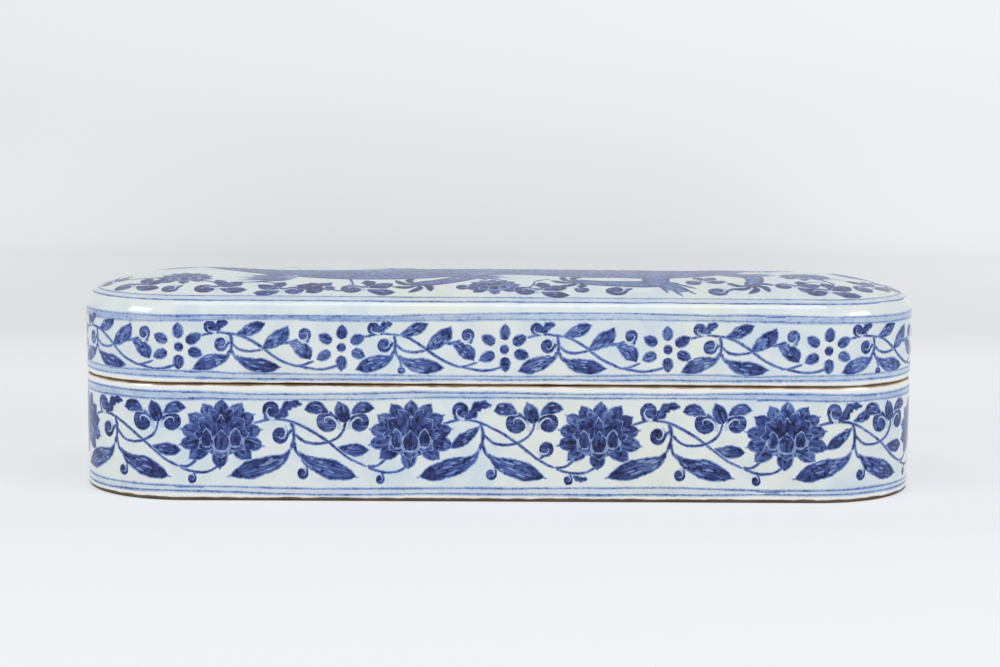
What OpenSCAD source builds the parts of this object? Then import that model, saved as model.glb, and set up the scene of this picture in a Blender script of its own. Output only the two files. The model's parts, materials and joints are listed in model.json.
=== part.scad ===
// Oblong porcelain pen box with rounded ends and a lift-off domed cover.
// It is slab-built: each slab is one solid, luted face to face to its neighbours.
// Millimetres, +Z up, +X along the length, origin on the table under the middle of the box.

/* [Plan] */
// Length of the box over its rounded ends
box_length = 320; // [260:1:400]
// Width of the box from front to back
box_width = 92; // [80:1:120]
// Straight run across each end, between its two corner rounds
end_flat = 8; // [2:1:24]

/* [Box] */
// Height of the box from the table to its rim
box_height = 44; // [38:1:70]
// Thickness of the box wall
wall_t = 5; // [4:0.5:7]
// Thickness of the floor slab
floor_t = 6; // [4:0.5:8]
// Height of the floor's underside above the table, inside the foot
foot_recess = 2.5; // [1:0.5:4]
// Bevel around the outside of the foot
foot_bevel = 1; // [0.5:0.1:1.5]
// Rounding on the edges of both rims
rim_round = 0.8; // [0.4:0.1:1.2]

/* [Inner lip] */
// Thickness of the lip that locates the cover
lip_t = 3.5; // [2.5:0.5:5]
// Height of the lip above the rim
lip_rise = 5; // [3:0.5:8]
// Depth that the lip is luted to the wall below the rim
lip_depth = 10; // [6:1:13]
// Gap all round between the lip and the cover's wall
lip_clearance = 0.6; // [0.4:0.1:1]

/* [Inside fittings] */
// Inside length of the ink compartment at the right-hand end
ink_length = 72; // [55:1:90]
// Thickness of the partition beside the ink compartment
partition_t = 4; // [3:0.5:6]
// Drop from the lip's lower edge to the top of the partition
partition_drop = 5; // [2:0.5:10]
// Thickness of each brush rest
rest_t = 6; // [4:0.5:10]
// Height of each brush rest above the floor
rest_height = 13; // [10:0.5:16]
// Distance from each end of the pen tray to the middle of the nearer brush rest
rest_inset = 48; // [40:1:60]
// Radius of the notches that hold the brushes
notch_r = 6; // [4:0.5:7]
// Distance from one notch to the next
notch_pitch = 17; // [15:0.5:19]
// Number of notches in each brush rest
notch_count = 4; // [2:1:4]

/* [Cover] */
// Height of the cover from its rim to the top of the crown
cover_height = 38; // [32:0.5:50]
// Outside radius of the shoulder between the cover's wall and top
shoulder_r = 8.5; // [7:0.5:12]
// Inside radius of the same shoulder
inner_shoulder_r = 5; // [3:0.5:7]
// Rise of the crown above the shoulder
crown_rise = 5; // [2:0.5:8]
// Thickness of the top slab at the crown
top_t = 6; // [4:0.5:8]
// Straight skirt of the top slab, below its shoulder
top_skirt = 2; // [1:0.5:4]

/* [Hidden] */
$fn = 96;
// Facets in a full circle of the crown's large radius
crown_fn = 720;
// How far a cut runs past the face that it opens
cut_past = 1;
porcelain = [0.86, 0.91, 0.91];
biscuit = [0.80, 0.75, 0.66];

// Every outline shares the same four corner axes, so an inset only shortens the corner radius.
corner_r = (box_width - end_flat) / 2;
straight_x = box_length - 2 * corner_r;
straight_y = end_flat;

floor_top = foot_recess + floor_t;
lip_bottom = box_height - lip_depth;
partition_height = lip_bottom - partition_drop - floor_top;

// Inside ends of the pen tray, along X
tray_left = -box_length / 2 + wall_t;
partition_x = box_length / 2 - wall_t - ink_length - partition_t / 2;
tray_right = partition_x - partition_t / 2;
rest_places = [tray_left + rest_inset, tray_right - rest_inset];

// The cover's wall is thinner than the box's by the clearance around the lip.
cover_wall_t = wall_t - lip_clearance;
crown_z = box_height + cover_height;
inner_crown_z = crown_z - top_t;
seam_z = min(crown_z - shoulder_r, inner_crown_z - inner_shoulder_r) - crown_rise - top_skirt;

// Sweeps a profile round the plan. Its x is the distance from a corner axis and its y is the height.
module around_plan() {
    for (sx = [-1, 1], sy = [-1, 1])
        translate([sx * straight_x / 2, sy * straight_y / 2, 0])
            rotate(sx * sy > 0 ? 90 - 90 * sx : -90 * sx)
                rotate_extrude(angle = 90) children();
    for (turn = [0, 180])
        rotate(turn) {
            translate([0, straight_y / 2, 0])
                rotate([90, 0, 90]) linear_extrude(straight_x, center = true) children();
            translate([straight_x / 2, 0, 0])
                rotate([90, 0, 0]) linear_extrude(straight_y, center = true) children();
        }
}

// Flat slab of the plan's outline, drawn in by an inset
module plan_slab(inset, height) {
    linear_extrude(height) {
        square([straight_x, box_width - 2 * inset], center = true);
        square([box_length - 2 * inset, straight_y], center = true);
        for (sx = [-1, 1], sy = [-1, 1])
            translate([sx * straight_x / 2, sy * straight_y / 2]) circle(corner_r - inset);
    }
}

// Upright strip whose two top corners are rounded
module soft_strip(width, height, round_r) {
    square([width, height - round_r]);
    translate([round_r, 0]) square([width - 2 * round_r, height]);
    for (x = [round_r, width - round_r])
        translate([x, height - round_r]) circle(round_r);
}

// Area under a domed top: a straight side, a shoulder arc, and a crown arc that is level at the corner axis
module crown_profile(side_r, shoulder, crown, bottom) {
    rise = crown_rise + shoulder;
    reach = side_r - shoulder;
    crown_r = (reach * reach + rise * rise - shoulder * shoulder) / (2 * crown_rise);
    shoulder_at = [reach, crown - rise];
    outward = [reach, crown_r - rise] / (crown_r - shoulder);
    translate([0, bottom]) square([side_r, crown - rise - bottom]);
    intersection() {
        translate(shoulder_at) circle(shoulder);
        translate(shoulder_at) square(shoulder);
    }
    intersection() {
        translate([0, crown - crown_r]) circle(crown_r, $fn = crown_fn);
        polygon([[0, crown - rise], shoulder_at, shoulder_at + 2 * shoulder * outward, [0, crown + shoulder]]);
    }
}

// Slab that stands across the box and ends on the wall's inner face
module cross_slab(x, thickness, height) {
    intersection() {
        translate([x - thickness / 2, -box_width / 2, floor_top]) cube([thickness, box_width, height]);
        translate([0, 0, floor_top]) plan_slab(wall_t, height);
    }
}

module brush_rest(x) {
    color(porcelain)
        difference() {
            cross_slab(x, rest_t, rest_height);
            for (i = [0:notch_count - 1])
                translate([x, (i - (notch_count - 1) / 2) * notch_pitch, floor_top + rest_height])
                    rotate([0, 90, 0]) cylinder(r = notch_r, h = rest_t + 2 * cut_past, center = true);
        }
}

module box_wall() {
    color(porcelain)
        around_plan()
            difference() {
                translate([corner_r - wall_t, 0]) soft_strip(wall_t, box_height, rim_round);
                polygon([[corner_r - foot_bevel, 0], [corner_r, 0], [corner_r, foot_bevel]]);
            }
}

module box_floor() {
    color(porcelain) translate([0, 0, foot_recess]) plan_slab(wall_t, floor_t);
}

module inner_lip() {
    color(biscuit)
        around_plan()
            translate([corner_r - wall_t - lip_t, lip_bottom])
                soft_strip(lip_t, lip_depth + lip_rise, rim_round);
}

module end_partition() {
    color(porcelain) cross_slab(partition_x, partition_t, partition_height);
}

module brush_rest_left() brush_rest(rest_places[0]);

module brush_rest_right() brush_rest(rest_places[1]);

module cover_wall() {
    color(porcelain)
        around_plan()
            translate([corner_r - cover_wall_t, seam_z]) mirror([0, 1])
                soft_strip(cover_wall_t, seam_z - box_height, rim_round);
}

module cover_top() {
    color(porcelain) {
        around_plan()
            difference() {
                crown_profile(corner_r, shoulder_r, crown_z, seam_z);
                crown_profile(corner_r - cover_wall_t, inner_shoulder_r, inner_crown_z, seam_z - cut_past);
            }
        translate([-straight_x / 2, -straight_y / 2, inner_crown_z]) cube([straight_x, straight_y, top_t]);
    }
}

box_wall();
box_floor();
inner_lip();
end_partition();
brush_rest_left();
brush_rest_right();
cover_wall();
cover_top();
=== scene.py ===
import json
import math
import random

import bmesh
import bpy
from mathutils import Matrix, Vector

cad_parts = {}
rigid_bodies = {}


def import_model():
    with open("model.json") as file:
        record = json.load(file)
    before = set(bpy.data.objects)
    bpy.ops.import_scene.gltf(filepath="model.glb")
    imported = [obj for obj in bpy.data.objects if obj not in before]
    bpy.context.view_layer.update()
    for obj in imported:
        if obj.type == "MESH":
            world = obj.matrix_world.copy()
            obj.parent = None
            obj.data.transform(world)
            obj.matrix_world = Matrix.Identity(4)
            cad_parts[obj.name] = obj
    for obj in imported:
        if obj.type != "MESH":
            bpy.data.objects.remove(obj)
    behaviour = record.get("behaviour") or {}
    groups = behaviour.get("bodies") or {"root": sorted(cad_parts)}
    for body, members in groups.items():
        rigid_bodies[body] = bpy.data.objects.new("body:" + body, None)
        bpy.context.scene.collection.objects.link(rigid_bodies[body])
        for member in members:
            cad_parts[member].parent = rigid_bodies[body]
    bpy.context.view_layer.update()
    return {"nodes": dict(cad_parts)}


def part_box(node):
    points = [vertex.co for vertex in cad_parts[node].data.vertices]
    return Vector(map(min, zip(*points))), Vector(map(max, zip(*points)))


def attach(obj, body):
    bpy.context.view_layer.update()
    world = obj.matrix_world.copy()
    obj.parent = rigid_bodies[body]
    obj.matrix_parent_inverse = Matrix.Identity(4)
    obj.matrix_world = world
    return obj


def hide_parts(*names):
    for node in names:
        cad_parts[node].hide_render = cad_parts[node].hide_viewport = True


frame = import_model()
scene = bpy.context.scene
mm = 0.001
print("frame loaded:", len(frame["nodes"]), "solids")

# camera, as the photograph sees the box
view = {
    "distance": 752 * mm,  # from the middle of the box, measured along the table
    "height": 153 * mm,
    "tilt": 7.24,  # degrees below the horizon
    "turn": 1.09,  # degrees that the box is turned
    "roll": 0.51,  # degrees
    "focal": 1.933,  # focal length in picture widths
    "sensor": 36.0,
}


def placeCamera():
    lens = bpy.data.cameras.new("studioCamera")
    lens.sensor_fit = "HORIZONTAL"
    lens.sensor_width = view["sensor"]
    lens.lens = view["focal"] * view["sensor"]
    camera = bpy.data.objects.new("studioCamera", lens)
    scene.collection.objects.link(camera)
    turn = math.radians(view["turn"])
    spot = Vector((-view["distance"] * math.sin(turn), -view["distance"] * math.cos(turn), view["height"]))
    aim = Matrix.Rotation(-turn, 4, "Z") @ Matrix.Rotation(math.radians(90 - view["tilt"]), 4, "X")
    roll = Matrix.Rotation(math.radians(view["roll"]), 4, "Z")
    camera.matrix_world = Matrix.Translation(spot) @ aim @ roll
    scene.camera = camera


placeCamera()
scene.view_settings.view_transform = "Standard"

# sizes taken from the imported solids
wallLow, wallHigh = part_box("box_wall")
lipLow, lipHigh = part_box("inner_lip")
floorLow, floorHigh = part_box("box_floor")
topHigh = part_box("cover_top")[1]

plan = {
    "cornerRadius": 42 * mm,
    "arcSteps": 64,  # facets in each quarter round
    "sidePoints": 61,  # odd, so that a point falls on the middle of the front
    "endPoints": 3,
}
plan["sideRun"] = wallHigh.x - wallLow.x - 2 * plan["cornerRadius"]
plan["endRun"] = wallHigh.y - wallLow.y - 2 * plan["cornerRadius"]
plan["girth"] = 2 * (plan["sideRun"] + plan["endRun"]) + math.tau * plan["cornerRadius"]

shell = {
    "skin": 0.11 * mm,  # the painted glaze stands on this and stays inside the solids' box
    "footRound": 1.1 * mm,  # outer and inner edge of the foot, and the corner of its recess
    "footInside": 0.5 * mm,
    "recessRound": 1.2 * mm,
    "rimRound": 0.8 * mm,
    "rimRoll": 3.4 * mm,  # height over which the box's rim rolls in under its glaze
    "rimIn": 1.1 * mm,  # and how far in
    "lip": 3.5 * mm,
    "floorFillet": 3 * mm,
    "coverGap": 0.6 * mm,  # between the lip and the cover's wall
    "shoulder": 8.5 * mm,
    "innerShoulder": 5 * mm,
    "crownRise": 5 * mm,
    "crownThickness": 6 * mm,
    "rimSag": 0.35 * mm,  # how far the fired rims wander apart
    "sagReach": 2.2 * mm,
    "sagScale": 26.0,
    "weld": 0.002 * mm,
}
shell["wall"] = lipLow.x - wallLow.x
shell["coverWall"] = shell["wall"] - shell["coverGap"]


def planStations():
    # places round the outer wall, from the middle of the front towards the right-hand end
    sideHalf = plan["sideRun"] / 2
    endHalf = plan["endRun"] / 2
    radius = plan["cornerRadius"]
    halfCount = (plan["sidePoints"] - 1) // 2
    stations = []

    def straight(start, end, outward, count):
        for step in range(count):
            place = Vector(start).lerp(Vector(end), step / count)
            stations.append((place + Vector(outward) * radius, Vector(outward)))

    def corner(axis, firstAngle):
        for step in range(plan["arcSteps"]):
            angle = firstAngle + step / plan["arcSteps"] * math.pi / 2
            outward = Vector((math.cos(angle), math.sin(angle), 0))
            stations.append((Vector(axis) + outward * radius, outward))

    frontRight, backRight = (sideHalf, -endHalf, 0), (sideHalf, endHalf, 0)
    frontLeft, backLeft = (-sideHalf, -endHalf, 0), (-sideHalf, endHalf, 0)
    straight((0, -endHalf, 0), frontRight, (0, -1, 0), halfCount)
    corner(frontRight, -math.pi / 2)
    straight(frontRight, backRight, (1, 0, 0), plan["endPoints"] - 1)
    corner(backRight, 0)
    straight(backRight, backLeft, (0, 1, 0), plan["sidePoints"] - 1)
    corner(backLeft, math.pi / 2)
    straight(backLeft, frontLeft, (-1, 0, 0), plan["endPoints"] - 1)
    corner(frontLeft, math.pi)
    straight(frontLeft, (0, -endHalf, 0), (0, -1, 0), halfCount)
    return stations


def guideMesh(name, places, outwards=None):
    mesh = bpy.data.meshes.new(name)
    mesh.from_pydata([tuple(place) for place in places], [], [])
    if outwards:
        layer = mesh.attributes.new("outward", "FLOAT_VECTOR", "POINT")
        layer.data.foreach_set("vector", [value for outward in outwards for value in outward])
    guide = bpy.data.objects.new(name, mesh)
    scene.collection.objects.link(guide)
    return guide


def guideCurve(name, places, cyclic, radii=None):
    curve = bpy.data.curves.new(name, "CURVE")
    curve.dimensions = "3D"
    spline = curve.splines.new("POLY")
    spline.points.add(len(places) - 1)
    for index, place in enumerate(places):
        spline.points[index].co = (place[0], place[1], place[2], 1)
        spline.points[index].radius = radii[index] if radii else 1
    spline.use_cyclic_u = cyclic
    guide = bpy.data.objects.new(name, curve)
    scene.collection.objects.link(guide)
    return guide


stations = planStations()
outline = [place for place, outward in stations]
planGuide = guideMesh("planGuide", outline, [outward for place, outward in stations])
planLine = guideCurve("planLine", outline, True)
helpers = [planGuide, planLine]
print("plan:", len(stations), "stations, girth", round(plan["girth"] / mm, 1), "mm")


# helpers for node trees
def startTree(name, kind, inputs, outputs):
    tree = bpy.data.node_groups.new(name, kind + "NodeTree")
    for direction, sockets in (("INPUT", inputs), ("OUTPUT", outputs)):
        for label, socketKind in sockets:
            tree.interface.new_socket(label, in_out=direction, socket_type="NodeSocket" + socketKind)
    return tree, tree.nodes.new("NodeGroupInput").outputs, tree.nodes.new("NodeGroupOutput").inputs


def geometryTree(name, inputs):
    passedOn = [("Geometry", "Geometry")]
    return startTree(name, "Geometry", passedOn + inputs, passedOn)


def addNode(tree, kind, values=None, **settings):
    node = tree.nodes.new(kind)
    for key, value in settings.items():
        setattr(node, key, value)
    for key, value in (values or {}).items():
        if isinstance(value, bpy.types.NodeSocket):
            tree.links.new(value, node.inputs[key])
        else:
            node.inputs[key].default_value = value
    return node


def linkTo(tree, sockets, values):
    for key, value in values.items():
        tree.links.new(value, sockets[key])


def mathNode(tree, operation, first, second=None, third=None):
    values = {index: value for index, value in enumerate((first, second, third)) if value is not None}
    return addNode(tree, "ShaderNodeMath", values, operation=operation).outputs[0]


def vectorNode(tree, operation, first, second=None, scale=None):
    values = {key: value for key, value in ((0, first), (1, second), ("Scale", scale)) if value is not None}
    return addNode(tree, "ShaderNodeVectorMath", values, operation=operation).outputs["Vector"]


def rangeNode(tree, value, fromLow, fromHigh, toLow, toHigh, smooth=False):
    values = {"Value": value, 1: fromLow, 2: fromHigh, 3: toLow, 4: toHigh}
    kind = "SMOOTHSTEP" if smooth else "LINEAR"
    return addNode(tree, "ShaderNodeMapRange", values, interpolation_type=kind).outputs[0]


def splitNode(tree, vector):
    return addNode(tree, "ShaderNodeSeparateXYZ", {0: vector}).outputs


def joinNode(tree, x=0.0, y=0.0, z=0.0):
    return addNode(tree, "ShaderNodeCombineXYZ", {0: x, 1: y, 2: z}).outputs[0]


def noiseNode(tree, place, scale, detail):
    values = {"Vector": place, "Scale": scale, "Detail": detail}
    return addNode(tree, "ShaderNodeTexNoise", values).outputs[0]


def mixNode(tree, share, first, second):
    # a colour that lies between two others
    return addNode(tree, "ShaderNodeMix", {0: share, 6: first, 7: second}, data_type="RGBA").outputs[2]


def objectPlace(tree):
    return addNode(tree, "ShaderNodeTexCoord").outputs["Object"]


def groupNode(tree, group, values):
    return addNode(tree, "ShaderNodeGroup", values, node_tree=group).outputs


def runTrees(host, steps, name):
    # adds each tree with its values, evaluates once and returns a plain mesh object
    for tree, values in steps:
        modifier = host.modifiers.new(tree.name, "NODES")
        modifier.node_group = tree
        for item in tree.interface.items_tree:
            if item.in_out == "INPUT" and item.name in values:
                modifier[item.identifier] = values[item.name]
    depsgraph = bpy.context.evaluated_depsgraph_get()
    mesh = bpy.data.meshes.new_from_object(host.evaluated_get(depsgraph), preserve_all_data_layers=True,
                                           depsgraph=depsgraph)
    host.modifiers.clear()
    helpers.append(host)
    mesh.name = name
    piece = bpy.data.objects.new(name, mesh)
    scene.collection.objects.link(piece)
    return piece


# glaze, bare clay and cobalt, as shader groups
glaze = {
    "cool": (0.755, 0.812, 0.820, 1),  # the two tints that drift into each other
    "milky": (0.815, 0.852, 0.840, 1),
    "patchScale": 26.0,
    "bled": (0.575, 0.690, 0.805, 1),  # where cobalt has spread into it
    "bledScale": 95.0,
    "cream": (0.842, 0.842, 0.720, 1),  # where the clay warms it
    "creamScale": 24.0,
    "speck": (0.20, 0.15, 0.10, 1),  # iron specks
    "speckScale": 190.0,
    "speckless": 0.965,  # share of cells without one
    "specks": 0.07,
    "rippleScale": 38.0,
    "peelScale": 420.0,
    "ripple": 0.16 * mm,
    "ior": 1.5,
    "edgeHighlight": (0.90, 0.90, 0.885, 1),  # painted highlight: the paler band beside a bare edge, where the rim catches the light
    "scorch": (0.62, 0.36, 0.15, 1),  # the burnt line beside a bare edge
    "scorchShare": 0.30,
    "wornHeight": (74.0 * mm, 77.0 * mm),  # the cover's top has lost some gloss above this
    "worn": 0.20,
    "sheen": (0.32, 0.5),  # specular level over paint, on the walls and on the worn top
}


def glazeSkinGroup():
    inputs = [("Patch Scale", "Float"), ("Speck Amount", "Float")]
    outputs = [("Color", "Color"), ("Roughness", "Float"), ("Height", "Float")]
    tree, given, out = startTree("glazeSkin", "Shader", inputs, outputs)
    place = objectPlace(tree)
    patch = noiseNode(tree, place, given["Patch Scale"], 2.0)
    color = mixNode(tree, rangeNode(tree, patch, 0.35, 0.65, 0.0, 1.0), glaze["cool"], glaze["milky"])
    bleed = noiseNode(tree, place, glaze["bledScale"], 3.0)
    color = mixNode(tree, rangeNode(tree, bleed, 0.44, 0.68, 0.0, 0.55), color, glaze["bled"])
    warm = noiseNode(tree, place, glaze["creamScale"], 2.0)
    color = mixNode(tree, rangeNode(tree, warm, 0.48, 0.70, 0.0, 0.66), color, glaze["cream"])
    cell = addNode(tree, "ShaderNodeTexVoronoi", {"Vector": place, "Scale": glaze["speckScale"]}).outputs
    near = rangeNode(tree, cell["Distance"], 0.05, 0.11, 1.0, 0.0)
    drawn = addNode(tree, "ShaderNodeSeparateColor", {0: cell["Color"]}).outputs[0]
    picked = mathNode(tree, "MULTIPLY", near, mathNode(tree, "GREATER_THAN", drawn, glaze["speckless"]))
    speck = mathNode(tree, "MULTIPLY", picked, given["Speck Amount"])
    ripple = noiseNode(tree, place, glaze["rippleScale"], 1.5)
    peel = noiseNode(tree, place, glaze["peelScale"], 1.0)
    linkTo(tree, out, {
        "Color": mixNode(tree, speck, color, glaze["speck"]),
        "Height": mathNode(tree, "MULTIPLY_ADD", peel, 0.035, ripple),
        "Roughness": rangeNode(tree, peel, 0.3, 0.7, 0.07, 0.14)})
    return tree


clay = {
    "burnt": (0.26, 0.155, 0.075, 1),
    "tan": (0.42, 0.30, 0.17, 1),
    "burnScale": 60.0,
    # painted shade: the near-black the bare clay turns in the gap and under the foot, with some dirt at the
    # foot
    "shadeAndGrime": (0.040, 0.030, 0.024, 1),
    "edgeScale": 130.0,  # how closely the glaze line frays
    "pale": (0.66, 0.58, 0.46, 1),  # the lip away from its edges
    "gritScale": 900.0,
    "grit": 0.05 * mm,
    "rough": 0.8,
    "lipReach": 2 * mm,
}


def bareEdgeGroup():
    # unglazed clay beyond a height, with the scorched line where the glaze ends; the clay darkens with
    # painted shade farther past the edge, into the gap and under the foot
    inputs = [("Edge", "Float"), ("Reach", "Float"), ("Side", "Float"), ("Shade And Grime", "Float")]
    outputs = [("Bare", "Float"), ("Scorch", "Float"), ("Edge Highlight", "Float"), ("Clay", "Color")]
    tree, given, out = startTree("bareEdge", "Shader", inputs, outputs)
    place = objectPlace(tree)
    above = mathNode(tree, "SUBTRACT", splitNode(tree, place)[2], given["Edge"])
    past = mathNode(tree, "MULTIPLY", above, given["Side"])
    share = mathNode(tree, "DIVIDE", past, given["Reach"])
    wander = noiseNode(tree, place, clay["edgeScale"], 3.0)
    ragged = mathNode(tree, "ADD", share, rangeNode(tree, wander, 0.3, 0.7, -0.5, 0.5))
    burn = noiseNode(tree, place, clay["burnScale"], 4.0)
    color = mixNode(tree, rangeNode(tree, burn, 0.38, 0.62, 0.0, 1.0), clay["burnt"], clay["tan"])
    # painted shade: the clay darkens farther past the edge, and all over by the given share
    shadeAndGrimeShare = mathNode(tree, "MAXIMUM", rangeNode(tree, ragged, 0.5, 2.2, 0.0, 0.9, True), given["Shade And Grime"])
    linkTo(tree, out, {
        "Bare": rangeNode(tree, ragged, -0.1, 0.25, 0.0, 1.0, True),
        "Scorch": rangeNode(tree, ragged, -1.1, 0.0, 0.0, 1.0, True),
        # painted highlight: the paler band just before the bare edge
        "Edge Highlight": rangeNode(tree, past, -2.4 * mm, -1.2 * mm, 0.0, 1.0, True),
        "Clay": mixNode(tree, shadeAndGrimeShare, color, clay["shadeAndGrime"])})
    return tree


cobalt = {
    "thin": (3.00, 2.16, 0.62),  # how strongly a thin wash takes out red, green and blue
    "thick": (0.25, 0.57, 0.72),  # what it takes out more as it gets thicker
    "softEdge": 1.4,  # mm over which a stroke bleeds into the glaze
    "hairs": (0.20, 1.55, 9.1),  # streaks: scale along and across a stroke, step from stroke to stroke
    "blotchScale": 150.0,
    "heapScale": 640.0,  # dark dots where pigment has heaped up
    "frayScale": 1000.0,
}


def cobaltGroup():
    # brushed pigment seen through the glaze: its density comes from each stroke's own values
    inputs = [("Ground", "Color"), ("Load", "Float")]
    tree, given, out = startTree("cobaltUnderGlaze", "Shader", inputs, [("Color", "Color")])
    place = objectPlace(tree)

    def strokeValues(name):
        return splitNode(tree, addNode(tree, "ShaderNodeAttribute", attribute_name=name).outputs["Vector"])

    brush = strokeValues("brush")  # place along, place across, seed
    inside, tone, underTone = strokeValues("wash")
    hair = [mathNode(tree, "MULTIPLY", value, scale) for value, scale in zip(brush, cobalt["hairs"])]
    streaks = rangeNode(tree, noiseNode(tree, joinNode(tree, *hair), 1.0, 2.0), 0.30, 0.70, -0.34, 0.30)
    blotches = rangeNode(tree, noiseNode(tree, place, cobalt["blotchScale"], 1.0), 0.32, 0.68, -0.20, 0.20)
    heaps = rangeNode(tree, noiseNode(tree, place, cobalt["heapScale"], 2.0), 0.53, 0.68, 0.0, 0.70)
    fray = rangeNode(tree, noiseNode(tree, place, cobalt["frayScale"], 1.0), 0.3, 0.7, -0.13, 0.13)
    outline = rangeNode(tree, inside, 1.05, 1.9, 0.26, 0.0)
    brushed = mathNode(tree, "ADD", streaks, blotches)
    lively = mathNode(tree, "ADD", brushed, mathNode(tree, "ADD", heaps, outline))
    laid = mathNode(tree, "MULTIPLY", tone, mathNode(tree, "ADD", lively, 1.0))
    ragged = mathNode(tree, "ADD", inside, fray)
    cover = rangeNode(tree, ragged, 0.0, cobalt["softEdge"], 0.0, 1.0, True)
    gain = mathNode(tree, "MULTIPLY", mathNode(tree, "SUBTRACT", laid, underTone), cover)
    density = mathNode(tree, "MULTIPLY", mathNode(tree, "ADD", underTone, gain), given["Load"])
    passed = {}
    for channel, (thin, thick) in enumerate(zip(cobalt["thin"], cobalt["thick"])):
        soak = mathNode(tree, "MULTIPLY", mathNode(tree, "MULTIPLY_ADD", density, -thick, -thin), density)
        passed[channel] = mathNode(tree, "EXPONENT", soak)
    filtered = addNode(tree, "ShaderNodeCombineColor", passed).outputs[0]
    seen = addNode(tree, "ShaderNodeMix", {0: 1.0, 6: given["Ground"], 7: filtered}, data_type="RGBA",
                   blend_type="MULTIPLY")
    linkTo(tree, out, {"Color": seen.outputs[2]})
    return tree


glazeSkin = glazeSkinGroup()
bareEdge = bareEdgeGroup()
cobaltUnderGlaze = cobaltGroup()


def startMaterial(name):
    material = bpy.data.materials.new(name)
    material.use_nodes = True
    return material, material.node_tree, material.node_tree.nodes["Principled BSDF"]


def bumpNode(tree, height, distance):
    values = {"Height": height, "Distance": distance, "Strength": 1.0}
    return addNode(tree, "ShaderNodeBump", values).outputs[0]


def startGlaze(name):
    material, tree, surface = startMaterial(name)
    surface.inputs["IOR"].default_value = glaze["ior"]
    skin = groupNode(tree, glazeSkin, {"Patch Scale": glaze["patchScale"], "Speck Amount": glaze["specks"]})
    linkTo(tree, surface.inputs, {"Normal": bumpNode(tree, skin["Height"], glaze["ripple"])})
    return material, tree, surface, skin


def wornRoughness(tree, rough):
    # fine scratches from use on whatever lies high on the cover
    low, high = glaze["wornHeight"]
    scratched = rangeNode(tree, splitNode(tree, objectPlace(tree))[2], low, high, 0.0, glaze["worn"], True)
    return mathNode(tree, "ADD", rough, scratched)


def glazedMaterial(name, bareEdges, worn=False):
    # of each bare edge: the height past which the clay is bare, the reach of the ragged line,
    # +1 above or -1 below, and how far painted shade and dirt darken the bare clay
    material, tree, surface, skin = startGlaze(name)
    color = skin["Color"]
    rough = wornRoughness(tree, skin["Roughness"]) if worn else skin["Roughness"]
    for height, reach, side, shadeAndGrime in bareEdges:
        edge = groupNode(tree, bareEdge, {"Edge": height, "Reach": reach, "Side": side, "Shade And Grime": shadeAndGrime})
        # painted highlight: a paler band along the bare edge
        color = mixNode(tree, edge["Edge Highlight"], color, glaze["edgeHighlight"])
        scorch = mathNode(tree, "MULTIPLY", edge["Scorch"], glaze["scorchShare"])
        color = mixNode(tree, scorch, color, glaze["scorch"])
        color = mixNode(tree, edge["Bare"], color, edge["Clay"])
        rough = addNode(tree, "ShaderNodeMix", {0: edge["Bare"], 2: rough, 3: clay["rough"]}).outputs[0]
    linkTo(tree, surface.inputs, {"Base Color": color, "Roughness": rough})
    return material


def paintedMaterial(name, load, worn=False):
    material, tree, surface, skin = startGlaze(name)
    surface.inputs["Specular IOR Level"].default_value = glaze["sheen"][1 if worn else 0]
    paint = groupNode(tree, cobaltUnderGlaze, {"Ground": skin["Color"], "Load": load})
    rough = wornRoughness(tree, skin["Roughness"]) if worn else skin["Roughness"]
    linkTo(tree, surface.inputs, {"Base Color": paint["Color"], "Roughness": rough})
    return material


def biscuitMaterial(name):
    # bare clay all over, darker along the lip's edges
    material, tree, surface = startMaterial(name)
    edge = groupNode(tree, bareEdge, {"Edge": lipHigh.z, "Reach": clay["lipReach"], "Side": 1})
    grit = noiseNode(tree, objectPlace(tree), clay["gritScale"], 3.0)
    linkTo(tree, surface.inputs, {
        "Base Color": mixNode(tree, edge["Scorch"], clay["pale"], edge["Clay"]),
        "Roughness": rangeNode(tree, grit, 0.3, 0.7, 0.62, 0.85),
        "Normal": bumpNode(tree, grit, clay["grit"])})
    return material


bareLine = {
    "foot": 1.45 * mm,  # heights of the bare clay at the foot and at both rims
    "footReach": 0.5 * mm,
    # painted shade and dirt over the whole bare foot
    "footShadeAndGrime": 0.78,
    "boxRim": 0.80 * mm,
    "coverRim": 0.55 * mm,
    "rimReach": 0.45 * mm,
}
rimHeight = wallHigh.z
boxGlaze = glazedMaterial("boxGlaze", [
    (bareLine["foot"], bareLine["footReach"], -1, bareLine["footShadeAndGrime"]),
    (rimHeight - bareLine["boxRim"], bareLine["rimReach"], 1, 0.0)])
coverGlaze = glazedMaterial("coverGlaze", [
    (rimHeight + bareLine["coverRim"], bareLine["rimReach"], -1, 0.0)], True)
insideGlaze = glazedMaterial("insideGlaze", [])
lipBiscuit = biscuitMaterial("lipBiscuit")
boxCobalt = paintedMaterial("boxCobalt", 0.96)
coverCobalt = paintedMaterial("coverCobalt", 0.82)
topCobalt = paintedMaterial("topCobalt", 1.0, True)
print("materials built")


# geometry steps that the trees share
def geometryOf(tree, guide):
    return addNode(tree, "GeometryNodeObjectInfo", {"Object": guide}).outputs["Geometry"]


def ownPosition(tree):
    return addNode(tree, "GeometryNodeInputPosition").outputs[0]


def realized(tree, geometry):
    return addNode(tree, "GeometryNodeRealizeInstances", {"Geometry": geometry}).outputs[0]


def dress(tree, out, geometry, material):
    dressed = addNode(tree, "GeometryNodeSetMaterial", {"Geometry": geometry, "Material": material})
    linkTo(tree, out, {"Geometry": dressed.outputs[0]})


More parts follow.
